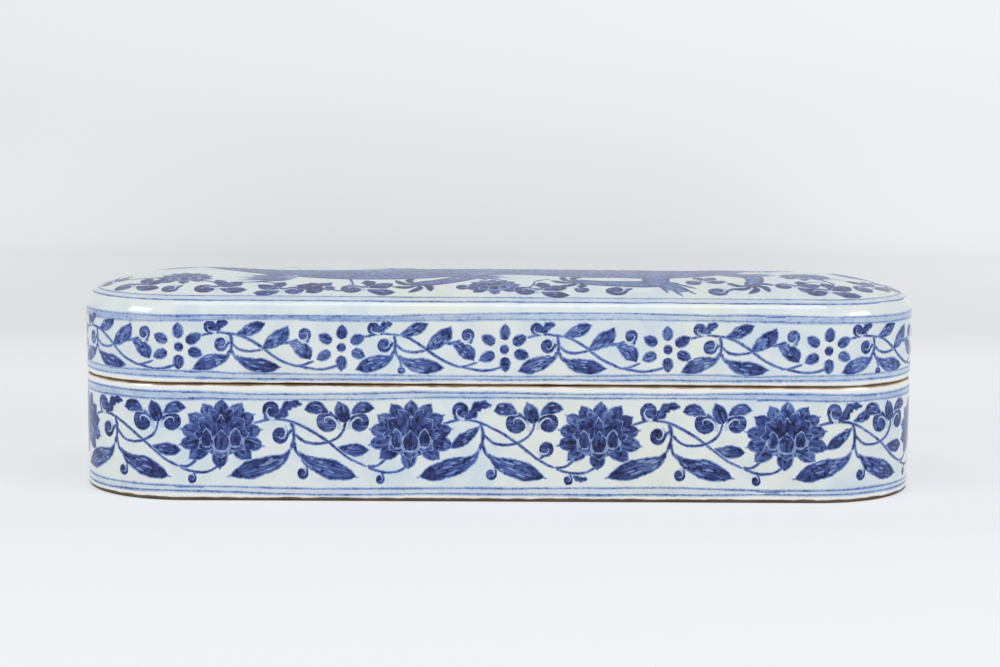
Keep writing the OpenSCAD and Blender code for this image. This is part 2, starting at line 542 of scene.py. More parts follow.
# shells swept round the plan
def sweepTree():
    inputs = [("Plan", "Object"), ("Profile", "Object"), ("Columns", "Int"), ("Rows", "Int"),
              ("Capped", "Bool"), ("Side Run", "Float"), ("End Run", "Float"), ("Side Points", "Int"),
              ("End Points", "Int"), ("Upper Cap", "Float"), ("Lower Cap", "Float"), ("Rim Height", "Float"),
              ("Rim Sag", "Float"), ("Material", "Material")]
    tree, given, out = geometryTree("sweepRoundPlan", inputs)
    planShape = geometryOf(tree, given["Plan"])
    columns = mathNode(tree, "ADD", given["Columns"], 1.0)
    grid = addNode(tree, "GeometryNodeMeshGrid", {"Vertices X": columns, "Vertices Y": given["Rows"]})
    index = addNode(tree, "GeometryNodeInputIndex").outputs[0]
    column = mathNode(tree, "DIVIDE", mathNode(tree, "ADD", index, 0.5), given["Rows"])
    column = mathNode(tree, "FLOOR", column)
    row = mathNode(tree, "SUBTRACT", index, mathNode(tree, "MULTIPLY", column, given["Rows"]))
    column = mathNode(tree, "FLOORED_MODULO", column, given["Columns"])
    position = ownPosition(tree)
    outwardField = addNode(tree, "GeometryNodeInputNamedAttribute", {"Name": "outward"},
                           data_type="FLOAT_VECTOR")

    def sampled(geometry, value, at):
        return addNode(tree, "GeometryNodeSampleIndex", {"Geometry": geometry, "Value": value, "Index": at},
                       data_type="FLOAT_VECTOR").outputs[0]

    foot = sampled(planShape, position, column)
    outward = sampled(planShape, outwardField.outputs[0], column)
    profilePoint = splitNode(tree, sampled(geometryOf(tree, given["Profile"]), position, row))
    inset = vectorNode(tree, "SCALE", outward, scale=mathNode(tree, "MULTIPLY", profilePoint[0], -1.0))
    lifted = joinNode(tree, z=profilePoint[2])
    place = vectorNode(tree, "ADD", vectorNode(tree, "ADD", foot, inset), lifted)
    swept = addNode(tree, "GeometryNodeSetPosition", {
        "Geometry": grid.outputs[0], "Position": place}).outputs[0]

    def cap(height, flipped):
        sheet = addNode(tree, "GeometryNodeMeshGrid", {
            "Size X": given["Side Run"], "Size Y": given["End Run"], "Vertices X": given["Side Points"],
            "Vertices Y": given["End Points"]})
        moved = addNode(tree, "GeometryNodeTransform", {"Geometry": sheet.outputs[0],
                                                        "Translation": joinNode(tree, z=height)}).outputs[0]
        return addNode(tree, "GeometryNodeFlipFaces", {"Mesh": moved}).outputs[0] if flipped else moved

    joined = addNode(tree, "GeometryNodeJoinGeometry")
    for geometry in (swept, cap(given["Upper Cap"], False), cap(given["Lower Cap"], True)):
        tree.links.new(geometry, joined.inputs[0])
    chosen = addNode(tree, "GeometryNodeSwitch", {"Switch": given["Capped"], "False": swept,
                                                  "True": joined.outputs[0]}, input_type="GEOMETRY")
    merged = addNode(tree, "GeometryNodeMergeByDistance", {"Geometry": chosen.outputs[0],
                                                           "Distance": shell["weld"]})
    # the rims wander a little, as fired clay does
    off = mathNode(tree, "SUBTRACT", splitNode(tree, position)[2], given["Rim Height"])
    near = rangeNode(tree, mathNode(tree, "ABSOLUTE", off), 0.0, shell["sagReach"], 1.0, 0.0, True)
    wander = rangeNode(tree, noiseNode(tree, position, shell["sagScale"], 2.0), 0.30, 0.70, 0.0, 1.0)
    sag = mathNode(tree, "MULTIPLY", wander, given["Rim Sag"])
    drop = joinNode(tree, z=mathNode(tree, "MULTIPLY", sag, near))
    settled = addNode(tree, "GeometryNodeSetPosition", {"Geometry": merged.outputs[0], "Offset": drop})
    smooth = addNode(tree, "GeometryNodeSetShadeSmooth", {
        "Geometry": settled.outputs[0], "Shade Smooth": True})
    dress(tree, out, realized(tree, smooth.outputs[0]), given["Material"])
    return tree


sweepRoundPlan = sweepTree()


def arcPoints(centre, radius, fromDegrees, toDegrees, steps):
    # in (inset, height), where 180 degrees points out of the wall
    sweep = toDegrees - fromDegrees
    turns = [math.radians(fromDegrees + sweep * step / steps) for step in range(steps + 1)]
    return [(centre[0] + radius * math.cos(turn), centre[1] + radius * math.sin(turn)) for turn in turns]


def crownPoints(inset, shoulder, crownHeight):
    # from the top of a wall, round its shoulder and over the crown to the corner axis
    radius = plan["cornerRadius"]
    rise = shell["crownRise"]
    reach = radius - inset - shoulder
    height = rise + shoulder
    crownRadius = (reach ** 2 + height ** 2 - shoulder ** 2) / (2 * rise)
    lean = math.degrees(math.asin(reach / (crownRadius - shoulder)))
    points = arcPoints((inset + shoulder, crownHeight - height), shoulder, 180, 90 + lean, 14)
    meeting = reach * crownRadius / (crownRadius - shoulder)
    for step in range(1, 25):
        away = meeting * (1 - step / 24)
        points.append((radius - away, crownHeight - crownRadius + math.sqrt(crownRadius ** 2 - away ** 2)))
    return points


def upright(inset, low, high, step):
    count = max(1, round((high - low) / step))
    return [(inset, low + (high - low) * k / count) for k in range(count + 1)]


def boxProfile():
    skin, wall, rimR = shell["skin"], shell["wall"], shell["rimRound"]
    recess, floorTop, fillet = floorLow.z, floorHigh.z, shell["floorFillet"]
    recessR, insideR, footR = shell["recessRound"], shell["footInside"], shell["footRound"]
    centre = plan["cornerRadius"]
    points = [(centre, recess), (centre * 0.7, recess), (centre * 0.4, recess)]
    points += arcPoints((wall + recessR, recess - recessR), recessR, 90, 180, 4)
    points += arcPoints((wall - insideR, insideR), insideR, 0, -90, 4)
    points += arcPoints((skin + footR, footR), footR, 270, 180, 6)
    points += upright(skin, 2 * mm, rimHeight - shell["rimRoll"] - 1 * mm, 3 * mm)
    for step in range(11):
        turn = step / 10 * math.pi / 2
        points.append((skin + shell["rimIn"] * (1 - math.cos(turn)),
                       rimHeight - shell["rimRoll"] * (1 - math.sin(turn))))
    points += [(wall * 0.5, rimHeight)]
    points += arcPoints((wall - rimR, rimHeight - rimR), rimR, 90, 0, 4)
    points += upright(wall, floorTop + fillet + 1 * mm, rimHeight - 2 * mm, 4 * mm)[::-1]
    points += arcPoints((wall + fillet, floorTop + fillet), fillet, 180, 270, 8)
    points += [(centre * 0.4, floorTop), (centre * 0.7, floorTop), (centre, floorTop)]
    return points


def lipProfile():
    wall, lip, rimR = shell["wall"], shell["lip"], shell["rimRound"]
    low, high, sunk = lipLow.z, lipHigh.z, 0.2 * mm
    points = [(wall - sunk, low + 0.3 * mm), (wall - sunk, rimHeight - 1.2 * mm)]
    points += [(wall, rimHeight - 0.6 * mm), (wall, rimHeight + 1.5 * mm), (wall, high - 1.6 * mm)]
    points += arcPoints((wall + rimR, high - rimR), rimR, 180, 90, 5)
    points += arcPoints((wall + lip - rimR, high - rimR), rimR, 90, 0, 5)
    points += upright(wall + lip, low + 1.4 * mm, high - 1.6 * mm, 4 * mm)[::-1]
    points += arcPoints((wall + lip - rimR, low + rimR), rimR, 0, -90, 5)
    return points + points[:1]


def coverProfile():
    skin, wall, rimR = shell["skin"], shell["coverWall"], shell["rimRound"]
    crown = topHigh.z
    inner = crownPoints(wall, shell["innerShoulder"], crown - shell["crownThickness"])[::-1]
    outer = crownPoints(skin, shell["shoulder"], crown - skin)
    points = inner + upright(wall, rimHeight + 2 * mm, inner[-1][1] - 2 * mm, 4 * mm)[::-1]
    points += arcPoints((wall - rimR, rimHeight + rimR), rimR, 0, -90, 4)
    points += [(wall * 0.5, rimHeight)]
    points += arcPoints((skin + rimR, rimHeight + rimR), rimR, 270, 180, 6)
    points += upright(skin, rimHeight + 1.6 * mm, outer[0][1] - 2 * mm, 3 * mm)
    return points + outer


def sweptPiece(name, profile, material, capped, upperCap=0.0, lowerCap=0.0, sag=0.0):
    guide = guideMesh(name + "Profile", [(inset, 0, height) for inset, height in profile])
    helpers.append(guide)
    host = guideMesh(name + "Host", [(0, 0, 0)])
    values = {"Plan": planGuide, "Profile": guide, "Columns": len(stations), "Rows": len(profile),
              "Capped": capped, "Side Run": plan["sideRun"], "End Run": plan["endRun"],
              "Side Points": plan["sidePoints"], "End Points": plan["endPoints"], "Upper Cap": upperCap,
              "Lower Cap": lowerCap, "Rim Height": rimHeight, "Rim Sag": sag, "Material": material}
    return runTrees(host, [(sweepRoundPlan, values)], name)


boxShell = sweptPiece("box_shell", boxProfile(), boxGlaze, True, floorHigh.z, floorLow.z, -shell["rimSag"])
lipRing = sweptPiece("lip_ring", lipProfile(), lipBiscuit, False)
coverShell = sweptPiece("cover_shell", coverProfile(), coverGlaze, True, topHigh.z - shell["skin"],
                        topHigh.z - shell["crownThickness"], shell["rimSag"])
print("shells:", [len(piece.data.polygons) for piece in (boxShell, lipRing, coverShell)], "faces")

# partition and brush rests, with the soft edges of luted slabs
fittings = {"edge": 0.9 * mm, "edgeSteps": 3, "sharpest": 35.0}


def softenedSlab(node):
    mesh = frame["nodes"][node].data.copy()
    work = bmesh.new()
    work.from_mesh(mesh)
    bmesh.ops.remove_doubles(work, verts=work.verts, dist=shell["weld"])
    bmesh.ops.dissolve_limit(work, angle_limit=math.radians(1), verts=work.verts, edges=work.edges)
    sharp = [edge for edge in work.edges if edge.calc_face_angle(0) > math.radians(fittings["sharpest"])]
    bmesh.ops.bevel(work, geom=sharp, offset=fittings["edge"], segments=fittings["edgeSteps"], profile=0.5,
                    affect="EDGES", clamp_overlap=True)
    bmesh.ops.recalc_face_normals(work, faces=work.faces)
    work.to_mesh(mesh)
    work.free()
    mesh.shade_smooth()
    mesh.set_sharp_from_angle(angle=math.radians(fittings["sharpest"]))
    mesh.materials.clear()
    mesh.materials.append(insideGlaze)
    piece = bpy.data.objects.new(node + "_glazed", mesh)
    scene.collection.objects.link(piece)
    return piece


slabNodes = ("end_partition", "brush_rest_left", "brush_rest_right")
slabs = [softenedSlab(node) for node in slabNodes]
print("inside fittings:", len(slabs))

# brush drawing, in millimetres: x along, y up the wall or back over the top
drawing = {
    "lift": 0.034,  # the middle of a stroke above the glaze
    "under": 0.06,  # its underside below it
    "bleed": 0.90,  # added to every stroke's width
    "thinnest": 0.02,  # half of the least width
    "stemWidth": 0.9,
    "step": 1.0,  # spacing of a stroke's stations
    "across": 1.5,  # widest face across a stroke
}


def newSketch(seed):
    return {"verts": [], "faces": [], "brush": [], "wash": [], "sharp": set(), "random": random.Random(seed)}


def leftOf(heading):
    return Vector((-heading.y, heading.x))


def aimed(degrees):
    angle = math.radians(degrees)
    return Vector((math.cos(angle), math.sin(angle)))


def smoothPath(points, step=drawing["step"]):
    # Catmull-Rom curve through the points, with stations about a step apart
    points = [Vector(point).to_2d() for point in points]
    if len(points) == 2:
        points.insert(1, (points[0] + points[1]) / 2)
    ends = [2 * points[0] - points[1]] + points + [2 * points[-1] - points[-2]]
    path = []
    for k in range(1, len(ends) - 2):
        before, start, end, after = ends[k - 1:k + 3]
        count = max(2, round((end - start).length / step))
        for part in range(count):
            t = part / count
            path.append(0.5 * (2 * start + (end - before) * t
                               + (2 * before - 5 * start + 4 * end - after) * t * t
                               + (3 * start - before - 3 * end + after) * t ** 3))
    return path + [points[-1]]


def ribbon(sketch, path, width, tone, ground=0.0, level=0.0, closed=False, soft=1.0):
    # a closed lens along the path; width(t) is its full width, its tone and the tone of its ground
    # may be functions of t as well, and its faded edge is soft times as wide
    verts, faces, brush, wash = sketch["verts"], sketch["faces"], sketch["brush"], sketch["wash"]
    seed = sketch["random"].random() * 10
    lengths = [0.0]
    for k in range(1, len(path)):
        lengths.append(lengths[-1] + (path[k] - path[k - 1]).length)
    total = lengths[-1] + ((path[0] - path[-1]).length if closed else 0.0)
    halves = [max((width(length / total) + drawing["bleed"]) / 2, drawing["thinnest"]) for length in lengths]
    count = max(1, math.ceil(max(halves) / drawing["across"]))
    shares = [1 - k / count for k in range(2 * count + 1)]
    last = len(path) - 1

    def addVert(place, height, across, inside, along):
        verts.append((place.x, place.y, height + level))
        brush.append((along, across, seed))
        tones = [value(along / total) if callable(value) else value for value in (tone, ground)]
        wash.append((inside / soft, *tones))
        return len(verts) - 1

    rings = []
    for k, point in enumerate(path):
        if not closed and k in (0, last):
            rings.append([addVert(point, 0, 0, 0, lengths[k])])
            continue
        side = leftOf(path[(k + 1) % len(path)] - path[k - 1]).normalized()
        half = halves[k]
        ring = [addVert(point + side * half * share, drawing["lift"] * (1 - share * share), half * share,
                        half * (1 - abs(share)), lengths[k]) for share in shares]
        rings.append(ring + [addVert(point, -drawing["under"], 0, half, lengths[k])])
    pairs = list(zip(rings, rings[1:])) + ([(rings[-1], rings[0])] if closed else [])
    for here, there in pairs:
        if len(here) == 1 or len(there) == 1:
            tip = (here if len(here) == 1 else there)[0]
            ring = there if len(here) == 1 else here
            loop = ring[:-1][::-1] + ring[-1:]
            order = list(zip(loop, loop[1:] + loop[:1]))
            faces += [(tip, a, b) if len(here) == 1 else (tip, b, a) for a, b in order]
            edges = ((tip, ring[0]), (tip, ring[-2]))
        else:
            for a in range(len(shares) - 1):
                faces.append((here[a + 1], there[a + 1], there[a], here[a]))
            faces.append((here[0], there[0], there[-1], here[-1]))
            faces.append((here[-1], there[-1], there[-2], here[-2]))
            edges = ((here[0], there[0]), (here[-2], there[-2]))
        sketch["sharp"].update(frozenset(edge) for edge in edges)


def placed(centre, turn=0.0, size=1.0, mirror=1):
    # maps a motif's own millimetres to its place on the drawing
    cosTurn, sinTurn = math.cos(math.radians(turn)), math.sin(math.radians(turn))

    def at(x, y):
        x, y = x * size * mirror, y * size
        return (centre[0] + x * cosTurn - y * sinTurn, centre[1] + x * sinTurn + y * cosTurn)

    return at


def stem(sketch, points, width=drawing["stemWidth"], tone=0.84, level=0.0):
    wobble = sketch["random"].uniform(0, 6)

    def outline(t):
        return width * (0.95 + 0.13 * math.sin(wobble + 9 * t)) * min(1, 0.5 + 9 * t, 0.5 + 9 * (1 - t))

    ribbon(sketch, smoothPath(points), outline, tone, 0.0, level, soft=0.75)


def leafWidth(t, full, belly=1.25, tip=0.8):
    # swells from the stalk and draws out to a point
    peak = belly / (belly + tip)
    return full * (t / peak) ** belly * ((1 - t) / (1 - peak)) ** tip


def insidePath(path, full, offset, first, final):
    # the stretch of a leaf's length that runs beside its middle line
    inner = []
    for k in range(1, len(path) - 1):
        t = k / (len(path) - 1)
        if first <= t <= final:
            side = leftOf(path[k + 1] - path[k - 1]).normalized()
            inner.append(path[k] + side * leafWidth(t, full) * offset)
    return inner


def leaf(sketch, points, full, tone=1.0, streaks=0, level=0.004):
    path = smoothPath(points)
    draw = sketch["random"].uniform
    phase = draw(0, 6)

    def outline(t):
        uneven = 1 + 0.05 * math.sin(phase + 17 * t) + draw(-0.04, 0.04)
        return max(leafWidth(min(t / 0.93, 1.0), full) * uneven, 0.6 * min(1.0, (1 - t) * 12, 0.3 + 9 * t))

    def slitWidth(t):
        return (0.08 * full + 0.35) * math.sin(math.pi * t) + 0.05

    ribbon(sketch, path, outline, lambda t: tone * (0.84 + 0.34 * t), 0.0, level)
    for streak in range(2 * streaks):
        # pale slits left between the brush hairs, most of them nearer the stalk
        offset = ((streak + 0.5) / (2 * streaks) - 0.5) * 0.78 + draw(-0.05, 0.05)
        first = draw(0.10, 0.50)
        slit = insidePath(path, full, offset, first, first + max(draw(0.12, 0.26), 4.5 / len(path)))
        if len(slit) > 2:
            ribbon(sketch, slit, slitWidth, 0.30, tone * 0.9, level + 0.010, soft=0.7)


def petalWidth(t, full):
    # an oval with a spur at its tip
    oval = full * 2 * math.sqrt(max(t / 0.86 * (1 - t / 0.86), 0.0))
    return max(oval, 1.8 * min(1.0, (1 - t) / 0.3) if t > 0.6 else 0.0)


def petal(sketch, base, tip, full, tone, rim=None, level=0.0):
    # a petal with a darker heart; rim is the tone of the pale line left round it
    base, tip = Vector(base), Vector(tip)
    path = smoothPath([base, (base + tip) / 2, tip], 0.8)
    if rim is not None:
        spread = (tip - base).normalized() * 0.5
        wider = smoothPath([base - spread, (base + tip) / 2, tip + spread], 0.8)
        ribbon(sketch, wider, lambda t: petalWidth(t, full + 1.0), rim, rim, level)
        level += 0.006
    ribbon(sketch, path, lambda t: petalWidth(t, full), lambda t: tone * (1.15 - 0.3 * t), rim or 0.0, level,
           soft=1.0 if rim is None else 0.55)
    heart = [base.lerp(tip, share) for share in (0.10, 0.26, 0.42, 0.58, 0.74)]
    ribbon(sketch, heart, lambda t: 0.5 * full * math.sin(math.pi * (0.15 + 0.8 * t)), tone * 1.25, tone,
           level + 0.004, soft=1.6)


def rolledShoot(sketch, points, full, level):
    # a thick stroke that hooks round and ends in a bulb, with a pale line left along it
    path = smoothPath(points, 0.8)

    def outline(t):
        return full * (0.30 + 0.80 * min(1, t * 1.2)) * math.sqrt(min(1, (1 - t) / 0.14))

    ribbon(sketch, path, outline, lambda t: 0.85 + 0.3 * t, 0.0, level)
    line = path[len(path) * 2 // 5:-3]
    ribbon(sketch, line, lambda t: 0.24 * full * math.sin(math.pi * t) + 0.05, 0.36, 1.0, level + 0.008)


def disc(sketch, centre, radius, tone, ground=0.0, level=0.0, soft=1.0):
    centre = Vector(centre)
    path = [centre + Vector((radius * math.sin(math.pi / 2 * (k / 6 - 1)), 0)) for k in range(13)]

    def outline(t):
        return 2 * radius * math.sqrt(max(1 - (2 * t - 1) ** 2, 0))

    ribbon(sketch, path, outline, tone, ground, level, soft=soft)


def curl(sketch, centre, radius, stalk, wind=1, tone=1.0, level=0.006):
    # a rolled-up bud on its stalk, with a pale notch that winds in from its edge
    centre, stalk = Vector(centre), Vector(stalk)
    first = math.atan2(stalk.y - centre.y, stalk.x - centre.x)

    def around(degrees, share):
        angle = first + wind * math.radians(degrees)
        return centre + Vector((math.cos(angle), math.sin(angle))) * radius * share

    stem(sketch, [stalk, around(15, 0.85), around(60, 0.66)], 0.3 * radius, 0.92 * tone, level - 0.004)
    heaped = tone * sketch["random"].uniform(0.92, 1.08)
    disc(sketch, around(150, 0.08), 0.86 * radius, heaped, 0.0, level, 0.75)
    notch = [around(degrees, share) for degrees, share in (
        (-42, 1.18), (-24, 0.86), (8, 0.58), (60, 0.44), (125, 0.38), (200, 0.26))]
    ribbon(sketch, smoothPath(notch, 0.5), lambda t: 0.42 * radius * (1 - 0.75 * t) - 0.45, 0.10,
           lambda t: tone * min(0.95, max(0.0, 5 * t - 0.9)), level + 0.012, soft=0.45)


def ruffledTip(sketch, points, full):
    # a small leaf with a scalloped edge
    def scallops(t):
        return leafWidth(t, full, 0.5, 0.6) * (1 + 0.22 * math.sin(26 * t))

    ribbon(sketch, smoothPath(points, 0.6), scallops, 0.95, 0.0, 0.008)


def sketchObject(name, sketch):
    mesh = bpy.data.meshes.new(name)
    mesh.from_pydata([(x * mm, y * mm, z * mm) for x, y, z in sketch["verts"]], [], sketch["faces"])
    for label in ("brush", "wash"):
        layer = mesh.attributes.new(label, "FLOAT_VECTOR", "POINT")
        layer.data.foreach_set("vector", [value for entry in sketch[label] for value in entry])
    mesh.shade_smooth()
    for edge in mesh.edges:
        edge.use_edge_sharp = frozenset(edge.vertices) in sketch["sharp"]
    return bpy.data.objects.new(name, mesh)


# trees that lay drawings on the walls and on the top
laying = {
    "clear": 4 * mm,  # how far off the wall a ray starts
    "wallReach": 20 * mm,
    "topClear": 10 * mm,
    "topReach": 100 * mm,
    "wallWaver": 75.0,  # scales of the drift that makes repeats differ
    "topWaver": 60.0,
}


def waver(tree, scale, amount):
    # shifts a drawing a little in its own plane, so that no two repeats are the same
    position = ownPosition(tree)
    drift = addNode(tree, "ShaderNodeTexNoise", {"Vector": position, "Scale": scale, "Detail": 1.0})
    shift = vectorNode(tree, "SUBTRACT", drift.outputs["Color"], (0.5, 0.5, 0.5))
    flat = vectorNode(tree, "MULTIPLY", shift, (1.0, 1.0, 0.0))
    return splitNode(tree, vectorNode(tree, "ADD", position, vectorNode(tree, "SCALE", flat, scale=amount)))


def spreadUnits(tree, points, drawings, values):
    # sets the drawings of a collection on the points, in turn
    units = addNode(tree, "GeometryNodeCollectionInfo", {
        "Collection": drawings, "Separate Children": True, "Reset Children": True})
    index = addNode(tree, "GeometryNodeInputIndex").outputs[0]
    spread = addNode(tree, "GeometryNodeInstanceOnPoints", {
        "Points": points, "Instance": units.outputs[0], "Pick Instance": True, "Instance Index": index,
        **values})
    return realized(tree, spread.outputs[0])


def layOn(tree, given, geometry, source, direction, reach, proud):
    # carries each point along a ray to the glaze, then up by its own height
    hit = addNode(tree, "GeometryNodeRaycast", {
        "Target Geometry": geometryOf(tree, given["Shell"]), "Source Position": source,
        "Ray Direction": direction, "Ray Length": reach}).outputs
    raised = vectorNode(tree, "SCALE", hit["Hit Normal"], scale=proud)
    place = vectorNode(tree, "ADD", hit["Hit Position"], raised)
    return addNode(tree, "GeometryNodeSetPosition", {"Geometry": geometry, "Position": place}).outputs[0]


def wrapTree():
    inputs = [("Drawings", "Collection"), ("Outline", "Object"), ("Shell", "Object"), ("Copies", "Int"),
              ("Pitch", "Float"), ("Start", "Float"), ("Height", "Float"), ("Girth", "Float"),
              ("Front End", "Float"), ("Back Stretch", "Float"), ("Waver", "Float"),
              ("Material", "Material")]
    tree, given, out = geometryTree("wrapRoundWall", inputs)
    places = addNode(tree, "GeometryNodeMeshLine", {
        "Count": given["Copies"], "Start Location": joinNode(tree, given["Start"], given["Height"]),
        "Offset": joinNode(tree, given["Pitch"])})
    real = spreadUnits(tree, places.outputs[0], given["Drawings"], {})
    x, y, proud = waver(tree, laying["wallWaver"], given["Waver"])
    ahead = mathNode(tree, "MINIMUM", x, given["Front End"])
    beyond = mathNode(tree, "MAXIMUM", mathNode(tree, "SUBTRACT", x, given["Front End"]), 0.0)
    length = mathNode(tree, "MULTIPLY_ADD", beyond, given["Back Stretch"], ahead)
    lap = mathNode(tree, "WRAP", length, given["Girth"], 0.0)
    line = geometryOf(tree, given["Outline"])
    sample = addNode(tree, "GeometryNodeSampleCurve", {"Curves": line, "Length": lap}, mode="LENGTH").outputs
    across = vectorNode(tree, "CROSS_PRODUCT", sample["Tangent"], (0.0, 0.0, 1.0))
    outward = vectorNode(tree, "NORMALIZE", across)
    onWall = vectorNode(tree, "ADD", sample["Position"], joinNode(tree, z=y))
    away = vectorNode(tree, "ADD", onWall, vectorNode(tree, "SCALE", outward, scale=laying["clear"]))
    inward = vectorNode(tree, "SCALE", outward, scale=-1.0)
    laid = layOn(tree, given, real, away, inward, laying["wallReach"], proud)
    dress(tree, out, laid, given["Material"])
    return tree


def layTree():
    inputs = [("Shell", "Object"), ("Above", "Float"), ("Waver", "Float"), ("Material", "Material")]
    tree, given, out = geometryTree("layOnTop", inputs)
    real = realized(tree, given["Geometry"])
    x, y, proud = waver(tree, laying["topWaver"], given["Waver"])
    source = joinNode(tree, x, y, given["Above"])
    laid = layOn(tree, given, real, source, (0.0, 0.0, -1.0), laying["topReach"], proud)
    dress(tree, out, laid, given["Material"])
    return tree


wrapRoundWall = wrapTree()
layOnTop = layTree()


def drawingGroup(name, sketches):
    group = bpy.data.collections.new(name + "Drawings")
    for index, sketch in enumerate(sketches):
        group.objects.link(sketchObject("%s%02d" % (name, index), sketch))
    return group


def dropGroup(group):
    for drawn in list(group.objects):
        bpy.data.objects.remove(drawn)
    bpy.data.collections.remove(group)


def wrappedPiece(name, sketches, target, material, settings):
    group = drawingGroup(name, sketches)
    host = guideMesh(name + "Host", [(0, 0, 0)])
    values = {"Drawings": group, "Outline": planLine, "Shell": target, "Copies": settings["copies"],
              "Pitch": settings["pitch"] * mm, "Start": settings["start"] * mm,
              "Height": settings["height"] * mm, "Girth": plan["girth"],
              "Front End": settings["frontEnd"] * mm, "Back Stretch": settings["backStretch"],
              "Waver": settings["waver"] * mm, "Material": material}
    piece = runTrees(host, [(wrapRoundWall, values)], name)
    dropGroup(group)
    return piece


def topLaying(waverAmount):
    # the step that lays a drawing on the cover's top
    return layOnTop, {"Shell": coverShell, "Above": topHigh.z + laying["topClear"],
                      "Waver": waverAmount * mm, "Material": topCobalt}


def laidPiece(name, sketch, waverAmount):
    host = sketchObject(name + "Host", sketch)
    scene.collection.objects.link(host)
    return runTrees(host, [topLaying(waverAmount)], name)


girth = plan["girth"] / mm


def backStretch(settings):
    # the rest of the girth takes the copies that the front doesn't show
    shown = settings["frontCopies"] * settings["pitch"]
    hidden = (settings["copies"] - settings["frontCopies"]) * settings["pitch"]
    settings["frontEnd"] = settings["start"] + shown
    settings["backStretch"] = (girth - shown) / hidden


# lotus scroll round the box
lotusScroll = {
    "copies": 11,
    "frontCopies": 3,
    "pitch": 69.95,
    "start": -103.7,
    "height": 24.8,
    "waver": 1.0,
    "kinds": ("plain", "curled", "plain", "leafy"),  # in turn along the wall
    "seed": 40,
    # path and width of each stem, from the lotus to the next one
    "stems": [([(11.5, 4.5), (18.4, 6.0), (25.4, 5.4), (31.6, 2.6), (39.1, -2.2), (43.5, -5.6), (48.0, -8.9),
                (54.2, -12.0)], 0.9),
              ([(53.2, -11.6), (57.5, -11.4), (61.0, -8.6)], 0.9),
              ([(53.6, -11.8), (59.7, -13.8), (65.4, -13.4), (69.6, -10.6)], 0.9),
              ([(25.8, 5.6), (27.0, 1.0), (26.3, -5.2)], 1.15),
              ([(26.8, 1.2), (30.5, -2.4), (34.6, -3.2), (39.2, -2.6), (43.5, -0.3), (45.4, 2.8),
                (45.9, 6.2)], 0.9),
              ([(26.7, -1.8), (28.0, -6.4), (31.6, -9.6)], 1.0),
              ([(26.7, -1.8), (25.0, -6.6), (21.6, -9.6)], 1.0)],
}
backStretch(lotusScroll)

lotusHead = {
    # tips of the outer and middle petals, from the middle of the flower
    "outer": [(0.3, 14.4), (-7.2, 12.6), (8.4, 12.6), (-13.0, 8.4), (13.4, 8.4), (-16.2, 2.6), (16.4, 2.6),
              (-16.2, -3.8), (16.8, -4.0), (-12.4, -9.4), (11.6, -9.4), (-0.4, -13.4)],
    "middle": [(-4.2, 9.6), (4.4, 9.8), (-8.6, 6.0), (9.0, 6.2), (-10.2, 0.6), (10.6, 0.8), (-8.4, -5.4),
               (8.4, -5.2), (0.2, -9.0)],
    # middle, lower and upper end, and width of each petal in the heart
    "heart": [(0.1, -3.0, 7.6, 8.2), (-5.4, -4.8, 2.6, 4.4), (5.2, -4.4, 2.8, 4.6), (0.0, -6.2, 2.4, 5.8)],
}


def lotus(sketch, centre, size=1.0, turn=0.0):
    # an open lotus head seen from the side: outer petals first, then the ones in front
    at = placed(centre, turn, size)
    draw = sketch["random"].uniform

    def near(x, y):
        return at(x + draw(-0.3, 0.3), y + draw(-0.3, 0.3))

    for x, y in lotusHead["outer"]:
        petal(sketch, near(x * 0.34, y * 0.34), near(x, y), 6.0 * size, 0.84 + draw(-0.1, 0.1), None, 0.0)
    disc(sketch, at(0, 0), 7.6 * size, 0.9, 0.8, 0.008)
    for x, y in lotusHead["middle"]:
        petal(sketch, near(x * 0.3, y * 0.3), near(x, y), 5.4 * size, 0.94 + draw(-0.1, 0.12), 0.44, 0.012)
    for index, (x, low, high, full) in enumerate(lotusHead["heart"]):
        petal(sketch, near(x, low), near(x, high), full * size, 0.98 + draw(-0.08, 0.12), 0.34,
              0.024 + 0.005 * index)


def trefoil(sketch, base, size, tone):
    # leafy finial: two lobes that roll under, a middle petal and two outer leaf tips
    at = placed(base, 0.0, size)
    curl(sketch, at(-5.7, -0.6), 4.3 * size, at(0.2, 0.2), 1, tone)
    curl(sketch, at(5.0, -0.5), 3.9 * size, at(-0.2, 0.2), -1, tone)
    leaf(sketch, [at(-5.0, 2.2), at(-9.6, 4.4), at(-14.4, 3.7)], 4.8 * size, tone * 0.95, 1, 0.012)
    leaf(sketch, [at(1.6, 2.0), at(6.0, 4.6), at(11.0, 4.4)], 4.4 * size, tone * 0.95, 1, 0.012)
    petal(sketch, at(0.6, -0.8), at(-2.6, 7.4), 5.2 * size, tone, None, 0.016)


